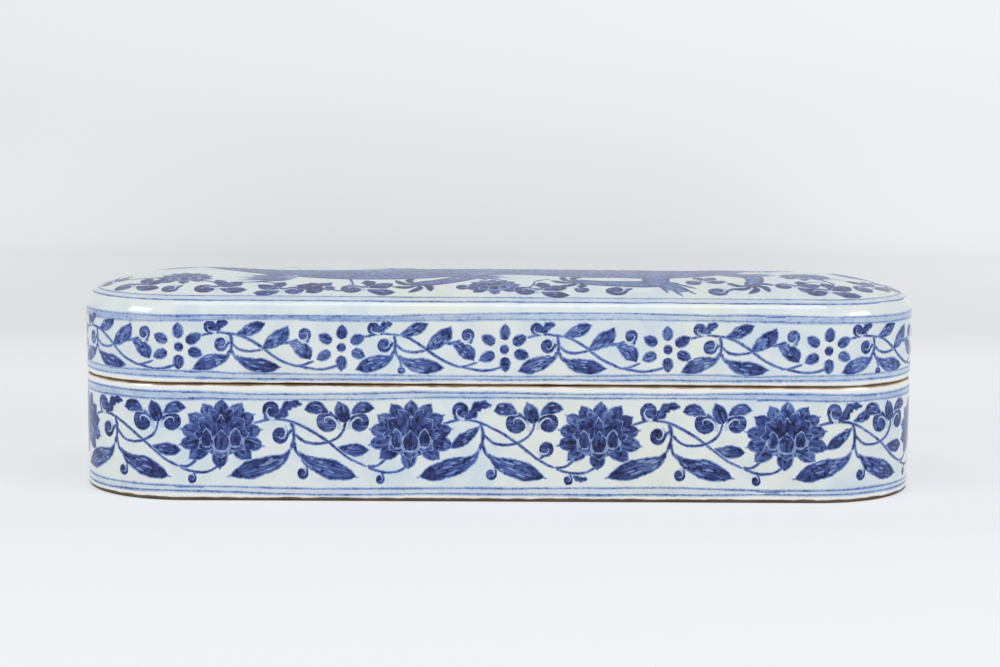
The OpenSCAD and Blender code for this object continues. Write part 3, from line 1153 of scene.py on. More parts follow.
def lotusUnit(kind, seed):
    sketch = newSketch(seed)
    nudge = sketch["random"].uniform
    for points, width in lotusScroll["stems"]:
        stem(sketch, points, width)
    leaf(sketch, [(26.2, -4.0), (22.6, -8.8), (12.5, -12.4 + nudge(-0.4, 0.4)), (1.6, -16.0)], 7.2, 0.92, 3)
    leaf(sketch, [(28.0, -5.6), (32.6, -9.8), (41.0, -12.9 + nudge(-0.4, 0.4)), (51.4, -16.0)], 7.4, 0.92, 3)
    if kind == "plain":
        curl(sketch, (22.0, 0.2), 3.5, (27.0, 2.6), -1)
    else:
        leaf(sketch, [(26.6, 4.4), (21.0, -0.2), (14.2, -4.8)], 4.6, 0.92, 2)
    if kind == "curled":
        curl(sketch, (50.4, -4.8), 3.1, (47.6, -8.8), 1)
        ruffledTip(sketch, [(60.4, -14.6), (62.8, -16.0), (66.4, -15.8)], 2.2)
    else:
        leaf(sketch, [(42.4, -4.2), (48.2, -5.2 + nudge(-0.4, 0.4)), (55.4, -5.6)], 5.0, 0.96, 1)
    if kind == "leafy":
        leaf(sketch, [(25.6, 5.8), (30.2, 7.4), (35.6, 10.6)], 4.2, 0.92, 1)
    curl(sketch, (18.4, 9.3), 3.6, (17.0, 5.6), -1)
    ruffledTip(sketch, [(19.6, 6.4), (22.6, 8.0), (24.2, 10.6), (26.8, 11.8), (30.4, 11.6)], 3.6)
    curl(sketch, (58.8, -16.2), 2.0, (59.6, -13.4), -1)
    stem(sketch, [(30.6, -8.6), (31.9, -11.0), (31.9, -12.6)], 1.2)
    curl(sketch, (30.2, -14.2), 2.4, (31.9, -12.0), -1)
    trefoil(sketch, (45.6, 5.6), 1.06, 0.95)
    lotus(sketch, (0, 0))
    return sketch


lotusUnits = [lotusUnit(kind, lotusScroll["seed"] + k) for k, kind in enumerate(lotusScroll["kinds"])]
boxScroll = wrappedPiece("box_lotus_scroll", lotusUnits, boxShell, boxCobalt, lotusScroll)
print("lotus scroll:", len(boxScroll.data.polygons), "faces")

# leaf scroll with six-petalled florets round the cover
leafScroll = {
    "copies": 13,
    "frontCopies": 4,
    "pitch": 60.1,
    "start": -119.2,
    "height": 57.7,
    "waver": 0.8,
    "variants": 3,
    "seed": 70,
    # direction of each petal, and how far out it starts and ends
    "petals": [(0, 1, 2.8, 9.6), (0, -1, 2.7, 9.4), (-0.88, 0.46, 3.9, 10.6), (-0.9, -0.42, 4.0, 11.0),
               (0.87, 0.47, 3.2, 10.0), (0.92, -0.36, 3.6, 10.0)],
    # path and width of each stem
    "stems": [([(7.6, 3.7), (9.9, 4.5), (13.3, 5.3), (17.7, 5.1), (22.8, 4.3), (26.7, 2.5), (30.3, 0.2),
                (32.2, -1.3), (36.7, -4.4), (41.2, -6.4), (44.5, -7.0), (50.6, -5.0)], 0.9),
              ([(43.6, -6.9), (50.1, -8.2), (55.1, -7.9), (59.6, -6.4)], 0.9),
              ([(19.2, 5.4), (19.8, 1.0), (19.1, -3.4)], 1.15),
              ([(19.7, 1.6), (22.2, -0.8), (26.1, -1.6), (31.4, -0.8)], 0.9),
              ([(19.5, -0.6), (21.6, -4.4), (26.0, -6.2)], 1.0),
              ([(19.5, -0.6), (17.8, -3.4), (14.6, -5.2)], 1.0),
              ([(19.2, -1.6), (23.0, -5.2), (25.6, -8.0), (29.4, -9.2)], 0.8)],
}
backStretch(leafScroll)


def floretUnit(variant):
    sketch = newSketch(leafScroll["seed"] + variant)
    nudge = sketch["random"].uniform
    for x, y, inner, outer in leafScroll["petals"]:
        base = (x * inner + nudge(-0.2, 0.2), y * inner)
        tip = (x * outer + nudge(-0.4, 0.4), y * outer + nudge(-0.4, 0.4))
        petal(sketch, base, tip, 4.1, 0.92 + nudge(-0.1, 0.1), None, 0.004)
    disc(sketch, (nudge(-0.2, 0.2), nudge(-0.2, 0.2)), 1.75, 1.05)
    for points, width in leafScroll["stems"]:
        stem(sketch, points, width)
    leaf(sketch, [(20.4, 4.4), (24.4, 5.6), (28.0, 7.4 + nudge(-0.3, 0.3)), (32.6, 9.3)], 4.6, 0.94, 2)
    leaf(sketch, [(29.8, -1.6), (35.0, 2.4), (38.6, 5.2 + nudge(-0.3, 0.3)), (40.6, 8.8)], 5.8, 0.94, 2)
    stem(sketch, [(38.0, 1.8), (41.5, 1.9), (44.6, 3.0)], 1.2)
    leaf(sketch, [(40.2, 1.8), (43.8, 0.2), (46.8, -2.0), (48.9, -5.2)], 5.8, 0.94, 2)
    leaf(sketch, [(19.6, -1.6), (17.6, -3.9), (11.6, -6.0 + nudge(-0.3, 0.3)), (4.2, -8.7)], 5.8, 0.94, 3)
    leaf(sketch, [(20.4, -2.3), (23.8, -5.2), (29.4, -6.8 + nudge(-0.3, 0.3)), (38.6, -7.6)], 5.8, 0.94, 2)
    curl(sketch, (46.5, 4.6), 2.8, (47.4, 1.2), 1)
    curl(sketch, (15.9, 1.0), 3.0, (19.6, 2.2), -1)
    curl(sketch, (11.8, 7.2), 2.7, (12.6, 4.8), -1)
    ruffledTip(sketch, [(13.0, 5.4), (14.6, 7.2), (16.4, 8.8), (19.0, 9.0)], 3.2)
    if variant == 1:
        disc(sketch, (22.0, -8.4), 1.5, 1.0)
        stem(sketch, [(21.0, -4.0), (22.0, -6.0), (22.0, -8.0)], 1.0)
    return sketch


floretUnits = [floretUnit(variant) for variant in range(leafScroll["variants"])]
coverScroll = wrappedPiece("cover_leaf_scroll", floretUnits, coverShell, coverCobalt, leafScroll)
print("leaf scroll:", len(coverScroll.data.polygons), "faces")

# ruled lines round the walls
bandLines = {
    # width and strength of each line, and its height at places along the front
    "box": [(1.0, 0.47, [(-126, 40.8), (-80, 40.1), (-26, 41.0), (60, 40.7), (107, 41.2), (140, 40.5)]),
            (0.95, 0.45, [(-150, 38.3), (-65, 38.3), (-20, 39.4), (70, 39.5), (140, 38.6)]),
            (0.95, 0.58, [(-126, 5.6), (-65, 4.7), (-20, 5.0), (60, 5.6), (102, 4.7), (138, 5.1)]),
            (1.0, 0.55, [(-150, 3.2), (-124, 3.8), (-60, 2.6), (-20, 3.1), (62, 3.0), (121, 3.4)])],
    "cover": [(1.15, 0.45, [(-150, 69.0), (-56, 69.3), (3, 70.5), (40, 70.9), (80, 70.3), (150, 69.8)]),
              (1.05, 0.45, [(-150, 66.8), (-90, 68.1), (-48, 67.8), (-12, 68.4), (47, 68.9), (138, 67.8)]),
              (0.9, 0.52, [(-112, 48.6), (-98, 47.9), (-12, 47.2), (77, 48.1), (92, 47.7), (130, 48.3)]),
              (0.95, 0.54, [(-126, 46.6), (-100, 46.0), (-40, 45.9), (30, 46.3), (77, 46.1), (121, 46.6)])],
    # strength of the wash inside each pair of lines, at places along the front
    "boxWash": [[(-150, 0.11), (-60, 0.08), (60, 0.07), (95, 0.12), (135, 0.15)], [(-20, 0.05), (20, 0.05)]],
    "coverWash": [[(-150, 0.22), (-103, 0.19), (-101, 0.36), (-39, 0.33), (-37, 0.25), (-9, 0.21), (2, 0.13),
                   (88, 0.11), (100, 0.17), (128, 0.19), (131, 0.12)], [(-20, 0.10), (20, 0.10)]],
    "joints": [-114.0, 104.0],  # where the brush met its start again, along the front
    "step": 1.3,
    "overlap": 2.0,  # how far each end of a lap runs past the other
}
lineLap = {
    "copies": 1,
    "pitch": 1.0,
    "start": 330.0,  # the laps close at the back
    "height": 0.0,
    "frontEnd": 10000.0,  # past the whole lap, so nothing is stretched
    "backStretch": 1.0,
    "waver": 0.35,
}
lapRun = girth + 2 * bandLines["overlap"]


def alongFront(places, t):
    # a value at a share of the lap, eased from place to place and level where the lap closes at the back
    start = lineLap["start"]
    along = t * lapRun - bandLines["overlap"] + start - girth
    level = (places[0][1] + places[-1][1]) / 2
    stops = [(start - girth - 9, level)] + places + [(start + 9, level)]
    for (left, low), (right, high) in zip(stops, stops[1:]):
        if left <= along <= right:
            share = (along - left) / (right - left)
            return low + (high - low) * share * share * (3 - 2 * share)


def ruledLines(lines, washes, seed):
    sketch = newSketch(seed)
    draw = sketch["random"].uniform
    count = round(girth / bandLines["step"])

    def ruled(height, width, tone, level):
        # one lap, with its ends laid over each other; height, width and tone change along it
        shares = [k / count for k in range(count + 1)]
        path = [Vector((share * lapRun - bandLines["overlap"], height(share))) for share in shares]
        ribbon(sketch, path, width, tone, 0.0, level)

    def wash(upper, lower, places):
        ruled(lambda t: (alongFront(upper, t) + alongFront(lower, t)) / 2,
              lambda t: alongFront(upper, t) - alongFront(lower, t) + 0.4,
              lambda t: alongFront(places, t), -0.002)

    def waves(t, sizes, turns, phases):
        terms = zip(sizes, turns, phases)
        return sum(size * math.sin(turn * t * math.tau + phase) for size, turn, phase in terms)

    def line(width, tone, heights):
        phases = [draw(0, math.tau) for k in range(5)]

        def drift(t):
            return waves(t, (0.06, 0.05), (8, 19), phases[:2])

        def swell(t):
            return width * (1 + waves(t, (0.14, 0.10, 0.08), (5, 17, 31), phases[2:]))

        ruled(lambda t: alongFront(heights, t) + drift(t), swell, tone * draw(0.93, 1.08), 0.004)

    for k, places in enumerate(washes):
        wash(lines[2 * k][2], lines[2 * k + 1][2], places)
    for width, tone, heights in lines:
        line(width, tone, heights)
    for joint in bandLines["joints"]:
        for width, tone, heights in lines:
            # the brush laps its own start here
            x = joint - lineLap["start"] + girth + draw(-4, 4)
            y = alongFront(heights, (x + bandLines["overlap"]) / lapRun) + draw(-0.3, 0.2)
            reach = draw(3, 7)
            stem(sketch, [(x - reach, y), (x, y + draw(-0.2, 0.2)), (x + reach, y)], width, 0.5, 0.010)
    return sketch


boxLines = wrappedPiece("box_band_lines", [ruledLines(bandLines["box"], bandLines["boxWash"], 11)],
                        boxShell, boxCobalt, lineLap)
coverLines = wrappedPiece("cover_band_lines", [ruledLines(bandLines["cover"], bandLines["coverWash"], 12)],
                          coverShell, coverCobalt, lineLap)
print("band lines:", len(boxLines.data.polygons) + len(coverLines.data.polygons), "faces")

# double border on the cover's top
border = {
    # inset, width, strength and level of the wash and of both lines
    "strokes": [(3.9, 2.4, 0.06, -0.002), (2.95, 1.25, 0.50, 0.004), (4.85, 1.1, 0.50, 0.004)],
    "waver": 0.5,
}


def borderSketch():
    sketch = newSketch(21)
    for inset, width, tone, level in border["strokes"]:
        path = [((place - outward * inset * mm) / mm).to_2d() for place, outward in stations]
        phase = sketch["random"].uniform(0, 6)

        def swell(t):
            return width * (1 + 0.12 * math.sin(phase + 40 * t) + 0.08 * math.sin(phase + 113 * t))

        ribbon(sketch, path, swell, tone, 0.0, level, closed=True)
    return sketch


coverBorder = laidPiece("cover_top_border", borderSketch(), border["waver"])
print("top border:", len(coverBorder.data.polygons), "faces")

# dragon on the cover's top, with its scales spread along the spine
dragon = {
    "spine": [(96, 14), (88, 6), (76, -3), (60, -6), (45, -4), (30, -4), (15, 0), (0, 1), (-16, -3),
              (-32, -8), (-48, -11), (-63, -12), (-78, -10), (-92, -6), (-104, 2), (-113, 10), (-122, 14)],
    "neck": 11.0,  # widths of the body
    "girth": 23.0,
    "tail": 1.2,
    "rowPitch": 2.6,  # between rows of scales
    "wash": 0.62,
    "waver": 0.6,
    "neckShare": 0.2,  # of its length
    "taperFrom": 0.60,
    "head": ((101, 16), 4, 0.92),  # place, turn and size
    # root, aim, spread, length, locks and level of the hair on the tail and the flank
    "tufts": [((-119, 13.0), 186, 64, 17, 9, 0.012), ((-78, -17), 194, 34, 21, 9, 0.010)],
    # hip, knee, foot, aim of the claws, aim and length of the hair at the knee
    "legs": [((-6, -1), (-13, -17), (-32, -28), -150, 0, 15), ((62, -5), (57, -25), (28, -23), 180, -36, 18),
             ((82, 0), (96, -12), (94, -27), -92, 42, 12), ((-44, -8), (-38, 13), (-57, 26), 140, 72, 14)],
}


def bodyWidth(t):
    swell = dragon["neck"] + (dragon["girth"] - dragon["neck"]) * min(1, t / dragon["neckShare"])
    taper = max(0, (t - dragon["taperFrom"]) / (1 - dragon["taperFrom"]))
    return swell + (dragon["tail"] - swell) * taper ** 1.2


def dragonHead(sketch, at):
    # facing right, jaws apart
    skull = smoothPath([at(-13, -2), at(-4, 0.5), at(5, 1), at(11, 2)])
    ribbon(sketch, skull, lambda t: 13 * math.sin(math.pi * (0.12 + 0.74 * t)) ** 0.6, 0.5)
    leaf(sketch, [at(-3, 3.5), at(7, 4), at(15, 4.6), at(21, 7.5)], 7.0, 0.8, 2, 0.010)
    leaf(sketch, [at(-5, -3.5), at(5, -6), at(13, -5.8), at(19, -2.6)], 4.6, 0.85, 1, 0.010)
    leaf(sketch, [at(2, -1.2), at(9, -1.6), at(16, 0.6)], 2.0, 0.9, 0, 0.012)
    rolledShoot(sketch, [at(15, 5.6), at(18, 8.6), at(21.4, 9.4), at(22.6, 7.2), at(20.8, 5.8)], 2.6, 0.016)
    disc(sketch, at(3.0, 5.4), 2.5, 1.25, 0.5, 0.020)
    disc(sketch, at(3.2, 5.5), 1.5, 0.08, 1.1, 0.030)
    disc(sketch, at(3.5, 5.6), 0.75, 1.4, 0.1, 0.038)
    leaf(sketch, [at(-3, 7.0), at(2, 9.4), at(8, 8.0)], 2.8, 1.15, 0, 0.018)
    leaf(sketch, [at(-2, 7.6), at(-11, 12.5), at(-23, 12.4)], 3.4, 1.0, 1, 0.014)
    leaf(sketch, [at(-5, 6.0), at(-13, 9.0), at(-24, 7.4)], 3.0, 0.95, 1, 0.012)
    leaf(sketch, [at(-7, 3.6), at(-12, 6.2), at(-16, 4.0)], 4.0, 0.9, 1, 0.016)
    for k in range(8):  # the mane
        low = -6.4 + 1.3 * k
        end = at(-25 + 0.7 * k, low - 4.4 + 1.4 * (k % 2) + 0.9 * k)
        leaf(sketch, [at(-6, low), at(-14, low - 2.6 + 0.5 * k), end], 1.9, 0.95, 0, 0.014)
    for k in range(4):  # the beard
        end = at(1.4 - 3.4 * k, -14.5 + 0.6 * k)
        leaf(sketch, [at(8 - 3 * k, -6.8), at(6.4 - 3 * k, -10.5), end], 1.8, 0.95, 0, 0.012)
    stem(sketch, [at(19, 6.8), at(25, 11), at(29, 7), at(34, 9.4)], 1.1, 0.9, 0.014)
    stem(sketch, [at(18, 4.6), at(25, 2.2), at(30, 4.0), at(36, -0.6)], 1.1, 0.9, 0.014)


def limb(sketch, points, width, level, hidden=0.0):
    # a washed shape with a line drawn along both sides; its first stretch, up to hidden, lies on the body
    wash = dragon["wash"]
    path = smoothPath(points)
    last = len(path) - 1
    headings = {k: (path[k + 1] - path[k - 1]).normalized() for k in range(1, last)}
    ribbon(sketch, path, width, wash, lambda t: wash if t < hidden else 0.0, level)
    for side in (-1, 1):
        edge = [path[k] + leftOf(headings[k]) * side * (width(k / last) / 2 - 0.3) for k in headings]
        ribbon(sketch, edge, lambda t: 0.8, 1.1, wash, level + 0.010)
    for k in range(8, last - 2, 3) if hidden else ():
        # curved bars across a leg, for its scales
        across = leftOf(headings[k]) * width(k / last) * 0.34
        bar = smoothPath([path[k] + across, path[k] + headings[k] * 1.4, path[k] - across], 1.0)
        ribbon(sketch, bar, lambda t: 0.5, 0.95, wash, level + 0.010)


def tuft(sketch, root, aim, spread, reach, count, level):
    # locks of hair that stream from one place and bend the same way, over a thin wash
    root = Vector(root)
    middle = aimed(aim)
    under = [root - middle, root + middle * reach * 0.5, root + middle * reach * 0.95]
    leaf(sketch, under, reach * 0.4, 0.4, 0, level - 0.006)
    for k in range(count):
        share = k / (count - 1) - 0.5
        away = aimed(aim + spread * share)
        bent = leftOf(away)
        start = root + bent * share * 4
        length = reach * (1 - 0.9 * share * share) * (0.88 + 0.24 * (k % 2))
        lock = [start, start + away * length * 0.5 + bent * 1.5, start + away * length - bent * 0.8]
        leaf(sketch, lock, 1.6, 0.95, 0, level)


def dragonLeg(sketch, hip, knee, foot, aim, hair, reach):
    # thigh and shank in one stroke, hair at the knee and five claws round the foot
    hip, knee, foot = Vector(hip), Vector(knee), Vector(foot)
    shank = (foot - knee).normalized()
    points = [hip, hip.lerp(knee, 0.55), knee, knee.lerp(foot, 0.5) + leftOf(shank) * 1.6, foot]
    tuft(sketch, knee, hair, 36, reach, 7, 0.010)
    limb(sketch, points, lambda t: 12.5 - 12.5 * t + 5.2 * t * t, 0.014, 0.22)
    for k in range(5):
        away = aimed(aim - 104 + 52 * k)
        bent = leftOf(away)
        claw = [foot - away, foot + away * 4.6 + bent * 1.7, foot + away * 10.0 - bent * 2.0]
        leaf(sketch, claw, 3.0, 1.05, 0, 0.020)
    disc(sketch, foot, 2.4, 0.95, 0.7, 0.024)


def dragonSketch():
    sketch = newSketch(31)
    limb(sketch, dragon["spine"], bodyWidth, 0.0)
    for leg in dragon["legs"]:
        dragonLeg(sketch, *leg)
    for hair in dragon["tufts"]:
        tuft(sketch, *hair)
    dragonHead(sketch, placed(*dragon["head"]))
    return sketch


def scaleRow(odd):
    # one row of scales across the body, drawn for its full girth, with a belly stroke and
    # every other time a fin
    sketch = newSketch(60 + odd)
    half = dragon["girth"] / 2
    wash = dragon["wash"]
    count = 5 + odd
    for k in range(count):
        y = (k - (count - 1) / 2) * 2.9 - 0.9
        scale = smoothPath([(-1.4, y - 1.5), (0.5, y - 1.0), (1.3, y), (0.5, y + 1.0), (-1.4, y + 1.5)], 1.2)
        ribbon(sketch, scale, lambda t: 0.75, 1.15, wash, 0.012)
    belly = smoothPath([(-0.5, half - 0.4), (0.3, half - 1.6), (-0.3, half - 2.6)], 1.2)
    ribbon(sketch, belly, lambda t: 0.7, 1.1, wash, 0.012)
    if odd:
        leaf(sketch, [(-1.4, 0.8 - half), (1.2, -2.4 - half), (5.4, -4.2 - half)], 3.6, 0.95, 0, 0.008)
    return sketch


def scalesTree():
    inputs = [("Spine", "Object"), ("Rows", "Collection"), ("Row Pitch", "Float"), ("Material", "Material")]
    tree, given, out = geometryTree("scalesAlongSpine", inputs)
    spaced = addNode(tree, "GeometryNodeResampleCurve", {
        "Curve": geometryOf(tree, given["Spine"]), "Length": given["Row Pitch"]}, mode="LENGTH")
    tangent = addNode(tree, "GeometryNodeInputTangent").outputs[0]
    turned = addNode(tree, "FunctionNodeAlignRotationToVector", {"Vector": tangent}, axis="X",
                     pivot_axis="Z")
    radius = addNode(tree, "GeometryNodeInputRadius").outputs[0]
    values = {"Rotation": turned.outputs[0], "Scale": joinNode(tree, 1.0, radius, 1.0)}
    dress(tree, out, spreadUnits(tree, spaced.outputs[0], given["Rows"], values), given["Material"])
    return tree


def dragonScales():
    path = smoothPath(dragon["spine"])
    last = len(path) - 1
    kept = range(4, last - 8)
    places = [(path[k].x * mm, path[k].y * mm, 0) for k in kept]
    spine = guideCurve("dragonSpine", places, False, [bodyWidth(k / last) / dragon["girth"] for k in kept])
    helpers.append(spine)
    rows = drawingGroup("scaleRow", [scaleRow(odd) for odd in (0, 1)])
    host = guideMesh("dragonScalesHost", [(0, 0, 0)])
    spread = {"Spine": spine, "Rows": rows, "Row Pitch": dragon["rowPitch"] * mm, "Material": topCobalt}
    piece = runTrees(host, [(scalesAlongSpine, spread), topLaying(dragon["waver"])], "dragon_scales")
    dropGroup(rows)
    return piece


scalesAlongSpine = scalesTree()
dragonBody = laidPiece("cover_top_dragon", dragonSketch(), dragon["waver"])
scales = dragonScales()
print("dragon:", len(dragonBody.data.polygons), "faces and", len(scales.data.polygons), "in its scales")

# lotus scroll round the dragon
topScroll = {
    "waver": 0.8,
    "sprigSize": 1.36,
    # place, turn in degrees, size and mirror of each sprig and trumpet-shaped leaf
    "sprigs": [(-136, -27, -25, 1.0, 1), (-105, -33, 0, 1.0, 1), (-83, -35, 8, 0.95, -1),
               (-50, -33, -8, 1.05, 1), (15, -34, -12, 1.05, 1), (77, -21, 15, 0.8, 1),
               (112, -28, -25, 0.9, 1), (124, -32, 0, 1.05, 1), (140, -20, 45, 1.0, 1),
               (-149, -8, -80, 0.85, 1), (-121, 31, 165, 1.0, 1), (-141, 24, 130, 0.8, -1),
               (-72, 36, 185, 0.95, -1), (-78, 18, 10, 0.9, 1), (-2, 36, 180, 1.0, 1), (13, 21, 10, 0.9, -1),
               (57, 35, 180, 1.0, -1), (72, 22, 5, 0.9, 1), (89, 36, 180, 0.95, 1), (114, 37, 175, 1.0, -1),
               (150, -7, 95, 0.85, 1), (146, 20, 130, 0.85, -1)],
    "trumpets": [(-70, -31.5, 8, 0.95, 1), (-50, 36.5, 180, 0.7, 1)],
    # centre, radius, stalk and winding of each bud on its own
    "buds": [((-123.5, -34.4), 3.8, (-119, -30.5), -1), ((43, -34), 4.8, (49, -31), -1),
             ((81, -34), 4.4, (87.5, -31), -1), ((-14.5, -31), 3.0, (-11, -30), -1),
             ((30, -33), 3.3, (29, -27), 1)],
    "stems": [[(-114, -24), (-106, -28), (-98, -27.5), (-90, -26.5), (-85, -28), (-82, -33)],
              [(-101, -27), (-103, -30), (-105, -32)], [(-66, -34), (-60, -36), (-56, -30), (-58, -19)],
              [(-56, -31), (-52, -32)], [(3, -32), (8, -33), (12, -28), (13, -23), (19, -19)],
              [(12, -27), (15, -32)], [(121, -15), (126, -23), (124, -31)],
              [(125, -20), (117, -22), (112, -27)],
              [(122, -13), (132, -15), (139, -19)], [(139, -19), (147, -14), (150, -6), (146, 0), (141, 4)],
              [(-125, -20), (-137, -17), (-146, -10), (-149, 1), (-146, 13), (-136, 24), (-122, 31),
               (-110, 32), (-99, 29)],
              [(-137, -27), (-130, -23)], [(-93, 26), (-85, 20), (-78, 18)],
              [(-91, 29), (-81, 33), (-70, 37), (-56, 38), (-45, 36), (-36, 30), (-25, 28)],
              [(-16, 29), (-6, 35), (3, 32), (12, 23), (20, 24), (31, 28)],
              [(41, 28), (54, 34), (64, 30), (72, 23), (80, 27), (88, 35), (101, 39), (114, 36),
               (127, 32), (137, 24), (139, 10)],
              [(139, 16), (145, 18)]],
    # place, size and turn of each flower
    "lotuses": [(-120, -21, 0.68, 5), (-3, -30, 0.68, 4), (117, -11, 0.66, -6), (-96, 28, 0.68, 185),
                (-20, 28, 0.66, 178), (36, 28, 0.68, 182), (138, 6, 0.66, 90)],
}


def sprig(sketch, centre, turn, size, mirror):
    # a rolled bud with three leaves round it
    size *= topScroll["sprigSize"]
    at = placed(centre, turn, size, mirror)
    leaf(sketch, [at(-0.6, -0.8), at(2.8, -2.2), at(8.0, -1.8)], 4.2 * size, 1.0, 1, 0.008)
    leaf(sketch, [at(-0.4, 0.0), at(2.6, 1.8), at(6.0, 5.0)], 4.4 * size, 1.0, 1, 0.010)
    leaf(sketch, [at(-0.6, 0.6), at(-0.2, 3.4), at(-2.0, 6.6)], 3.8 * size, 1.0, 0, 0.012)
    curl(sketch, at(-4.0, -1.2), 3.3 * size, at(0.4, 0.8), mirror, 1.0, 0.014)


def trumpetLeaf(sketch, centre, turn, size, mirror):
    # a broad turned-over leaf with a smaller tip below
    at = placed(centre, turn, size, mirror)
    leaf(sketch, [at(7.6, 4.4), at(3.0, 0.6), at(-3.0, 0.2), at(-7.8, 2.6)], 9.0 * size, 1.0, 2, 0.010)
    leaf(sketch, [at(2.6, 0.4), at(0.4, -4.0), at(-4.6, -6.4)], 5.6 * size, 1.0, 1, 0.014)
    curl(sketch, at(5.2, -2.6), 2.8 * size, at(1.0, -1.2), mirror, 1.0, 0.012)


def topScrollSketch():
    sketch = newSketch(52)
    for points in topScroll["stems"]:
        stem(sketch, points, tone=0.85)
    for kind, motif in [("sprigs", sprig), ("trumpets", trumpetLeaf)]:
        for x, y, turn, size, mirror in topScroll[kind]:
            motif(sketch, (x, y), turn, size, mirror)
    for centre, radius, stalk, wind in topScroll["buds"]:
        curl(sketch, centre, radius, stalk, wind)
    for x, y, size, turn in topScroll["lotuses"]:
        lotus(sketch, (x, y), size, turn)
    return sketch


coverSprays = laidPiece("cover_top_sprays", topScrollSketch(), topScroll["waver"])
print("top sprays:", len(coverSprays.data.polygons), "faces")

# what rides on what
boxPaint = [boxScroll, boxLines]
coverPaint = [coverScroll, coverLines, coverBorder, dragonBody, scales, coverSprays]
for piece in [boxShell, lipRing] + slabs + boxPaint:
    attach(piece, "box")
for piece in [coverShell] + coverPaint:
    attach(piece, "cover")
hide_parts("box_wall", "box_floor")
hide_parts("inner_lip")
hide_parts("cover_wall", "cover_top")
for node, slab in zip(slabNodes, slabs):
    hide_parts(node)

# table, backdrop and lamps
studio = {
    "floorColor": (0.92, 0.93, 0.93),
    "tableFront": -1.6,
    "tableBack": 1.1,
    "sweepRadius": 0.5,
    "sweepSteps": 16,
    "wallTop": 1.6,
    "halfWidth": 2.2,
    # painted light and shade on the paper's glow, by distance from the box along the floor and up the wall:
    # a slight painted shadow just in front of the box and darker toward the crease
    "tones": [(-0.45, 1.0), (-0.227, 1.0), (-0.114, 0.98), (-0.076, 0.94), (0.082, 1.0), (0.469, 0.735),
              (1.025, 0.68), (1.386, 0.765), (1.715, 0.84), (2.2, 0.88)],
    "paperTint": (0.978, 0.998, 1.022),
    "drift": (-0.7, 0.7, 0.98, 1.07),  # painted light: how it brightens from left to right
    "sideLift": 0.14,  # painted light: how much paler it is far off to both sides
    "aside": (0.15, 0.50),  # where to the sides that begins and is full
    "rising": (0.35, 0.95),  # and where along the paper it comes and goes
    "falling": (1.10, 1.70),
    "glowShare": (0.10, 0.42, 0.5, 1.0),  # how much of its look is the painted glow, by distance
    "world": (0.86, 0.90, 0.93),
    "worldStrength": 0.42,
    "room": (0.775, 0.800, 0.820),  # the room past the paper, where it is seen
}


def seenDirectly(tree):
    # 1 where the camera, a reflection or clear glass looks, 0 where light is gathered
    path = addNode(tree, "ShaderNodeLightPath").outputs
    seen = mathNode(tree, "MAXIMUM", path["Is Camera Ray"], path["Is Glossy Ray"])
    return mathNode(tree, "MAXIMUM", seen, path["Is Transmission Ray"])


def paperMaterial():
    # lit as paper near the box; farther off the camera and the reflections see a glow with painted light and
    # shade
    material, tree, surface = startMaterial("palePaper")
    surface.inputs["Base Color"].default_value = (*studio["floorColor"], 1)
    surface.inputs["Roughness"].default_value = 0.9
    surface.inputs["Specular IOR Level"].default_value = 0.1
    x, y, z = splitNode(tree, objectPlace(tree))
    along = mathNode(tree, "ADD", y, z)
    tones = studio["tones"]
    first, last = tones[0][0], tones[-1][0]
    ramp = addNode(tree, "ShaderNodeValToRGB", {0: rangeNode(tree, along, first, last, 0.0, 1.0)})
    stops = ramp.color_ramp.elements
    for distance, tone in tones[1:-1]:
        stops.new((distance - first) / (last - first))
    for stop, (distance, tone) in zip(stops, tones):
        stop.color = (*[tone * tint for tint in studio["paperTint"]], 1)
    leftToRight = rangeNode(tree, x, *studio["drift"])
    aside = rangeNode(tree, mathNode(tree, "ABSOLUTE", x), *studio["aside"], 0.0, studio["sideLift"], True)
    rising = rangeNode(tree, along, *studio["rising"], 0.0, 1.0, True)
    falling = rangeNode(tree, along, *studio["falling"], 1.0, 0.0, True)
    lift = mathNode(tree, "MULTIPLY", aside, mathNode(tree, "MULTIPLY", rising, falling))
    strength = mathNode(tree, "ADD", leftToRight, lift)
    glow = addNode(tree, "ShaderNodeEmission", {"Color": ramp.outputs[0], "Strength": strength})
    glowShare = rangeNode(tree, along, *studio["glowShare"], True)
    share = mathNode(tree, "MULTIPLY", seenDirectly(tree), glowShare)
    mixed = addNode(tree, "ShaderNodeMixShader", {0: share, 1: surface.outputs[0], 2: glow.outputs[0]})
    linkTo(tree, tree.nodes["Material Output"].inputs, {"Surface": mixed.outputs[0]})
    return material


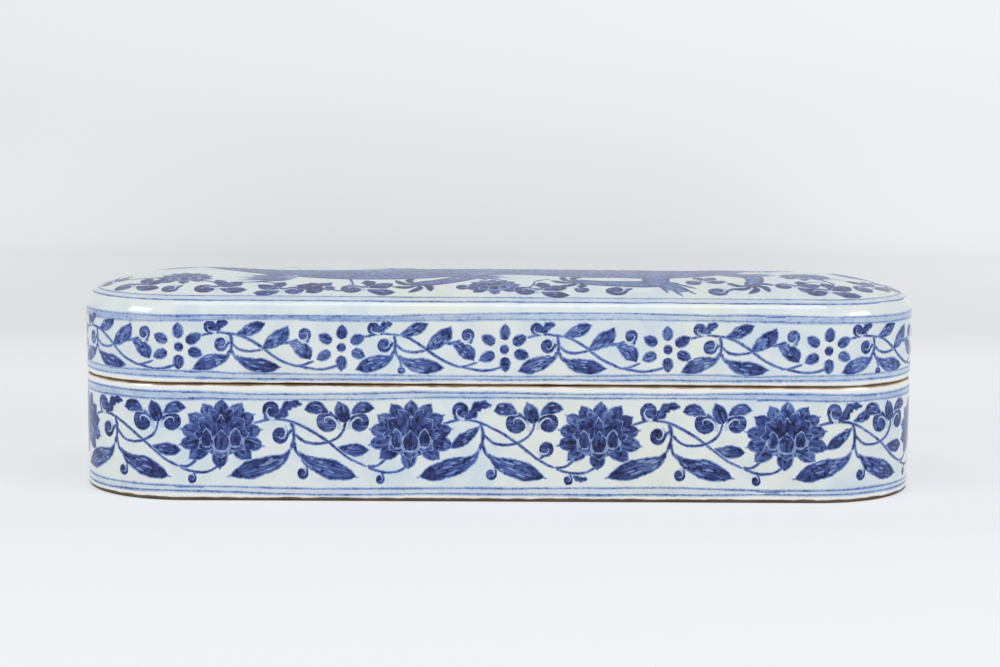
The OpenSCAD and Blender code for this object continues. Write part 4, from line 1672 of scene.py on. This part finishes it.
def buildBackdrop():
    back, radius, half = studio["tableBack"], studio["sweepRadius"], studio["halfWidth"]
    profile = [(studio["tableFront"], 0.0), (-0.4, 0.0), (0.2, 0.0), (back, 0.0)]
    for step in range(1, studio["sweepSteps"] + 1):
        angle = step / studio["sweepSteps"] * math.pi / 2
        profile.append((back + radius * math.sin(angle), radius * (1 - math.cos(angle))))
    profile.append((back + radius, studio["wallTop"]))
    verts = [(side * half, y, z) for y, z in profile for side in (-1, 1)]
    faces = [(2 * k, 2 * k + 1, 2 * k + 3, 2 * k + 2) for k in range(len(profile) - 1)]
    mesh = bpy.data.meshes.new("paperSweep")
    mesh.from_pydata(verts, [], faces)
    mesh.shade_smooth()
    mesh.materials.append(paperMaterial())
    sweep = bpy.data.objects.new("paper_sweep", mesh)
    scene.collection.objects.link(sweep)


lamps = {
    "aim": (0.0, 0.0, 0.05),
    "boxes": [  # name, place, width, height and watts
        ("overheadBox", (0.02, -0.45, 1.10), 0.8, 0.28, 2.7),
        ("leftBox", (-1.2, -0.75, 0.65), 0.6, 0.5, 6.6),
        ("rightBox", (1.2, -0.75, 0.65), 0.6, 0.5, 6.6),
    ],
}


def buildLamps():
    for name, place, width, height, watts in lamps["boxes"]:
        lamp = bpy.data.lights.new(name, "AREA")
        lamp.shape = "RECTANGLE"
        lamp.size = width
        lamp.size_y = height
        lamp.energy = watts
        holder = bpy.data.objects.new(name, lamp)
        holder.location = place
        holder.rotation_euler = (Vector(lamps["aim"]) - Vector(place)).to_track_quat("-Z", "Y").to_euler()
        scene.collection.objects.link(holder)


def buildWorld():
    world = bpy.data.worlds.new("softRoom")
    world.use_nodes = True
    tree = world.node_tree
    light = tree.nodes["Background"]
    light.inputs["Color"].default_value = (*studio["world"], 1)
    light.inputs["Strength"].default_value = studio["worldStrength"]
    pale = addNode(tree, "ShaderNodeBackground", {"Color": (*studio["room"], 1), "Strength": 1.0})
    mixed = addNode(tree, "ShaderNodeMixShader", {
        0: seenDirectly(tree), 1: light.outputs[0], 2: pale.outputs[0]})
    linkTo(tree, tree.nodes["World Output"].inputs, {"Surface": mixed.outputs[0]})
    scene.world = world


buildBackdrop()
buildLamps()
buildWorld()
for helper in helpers:
    bpy.data.objects.remove(helper)
print("stage set")
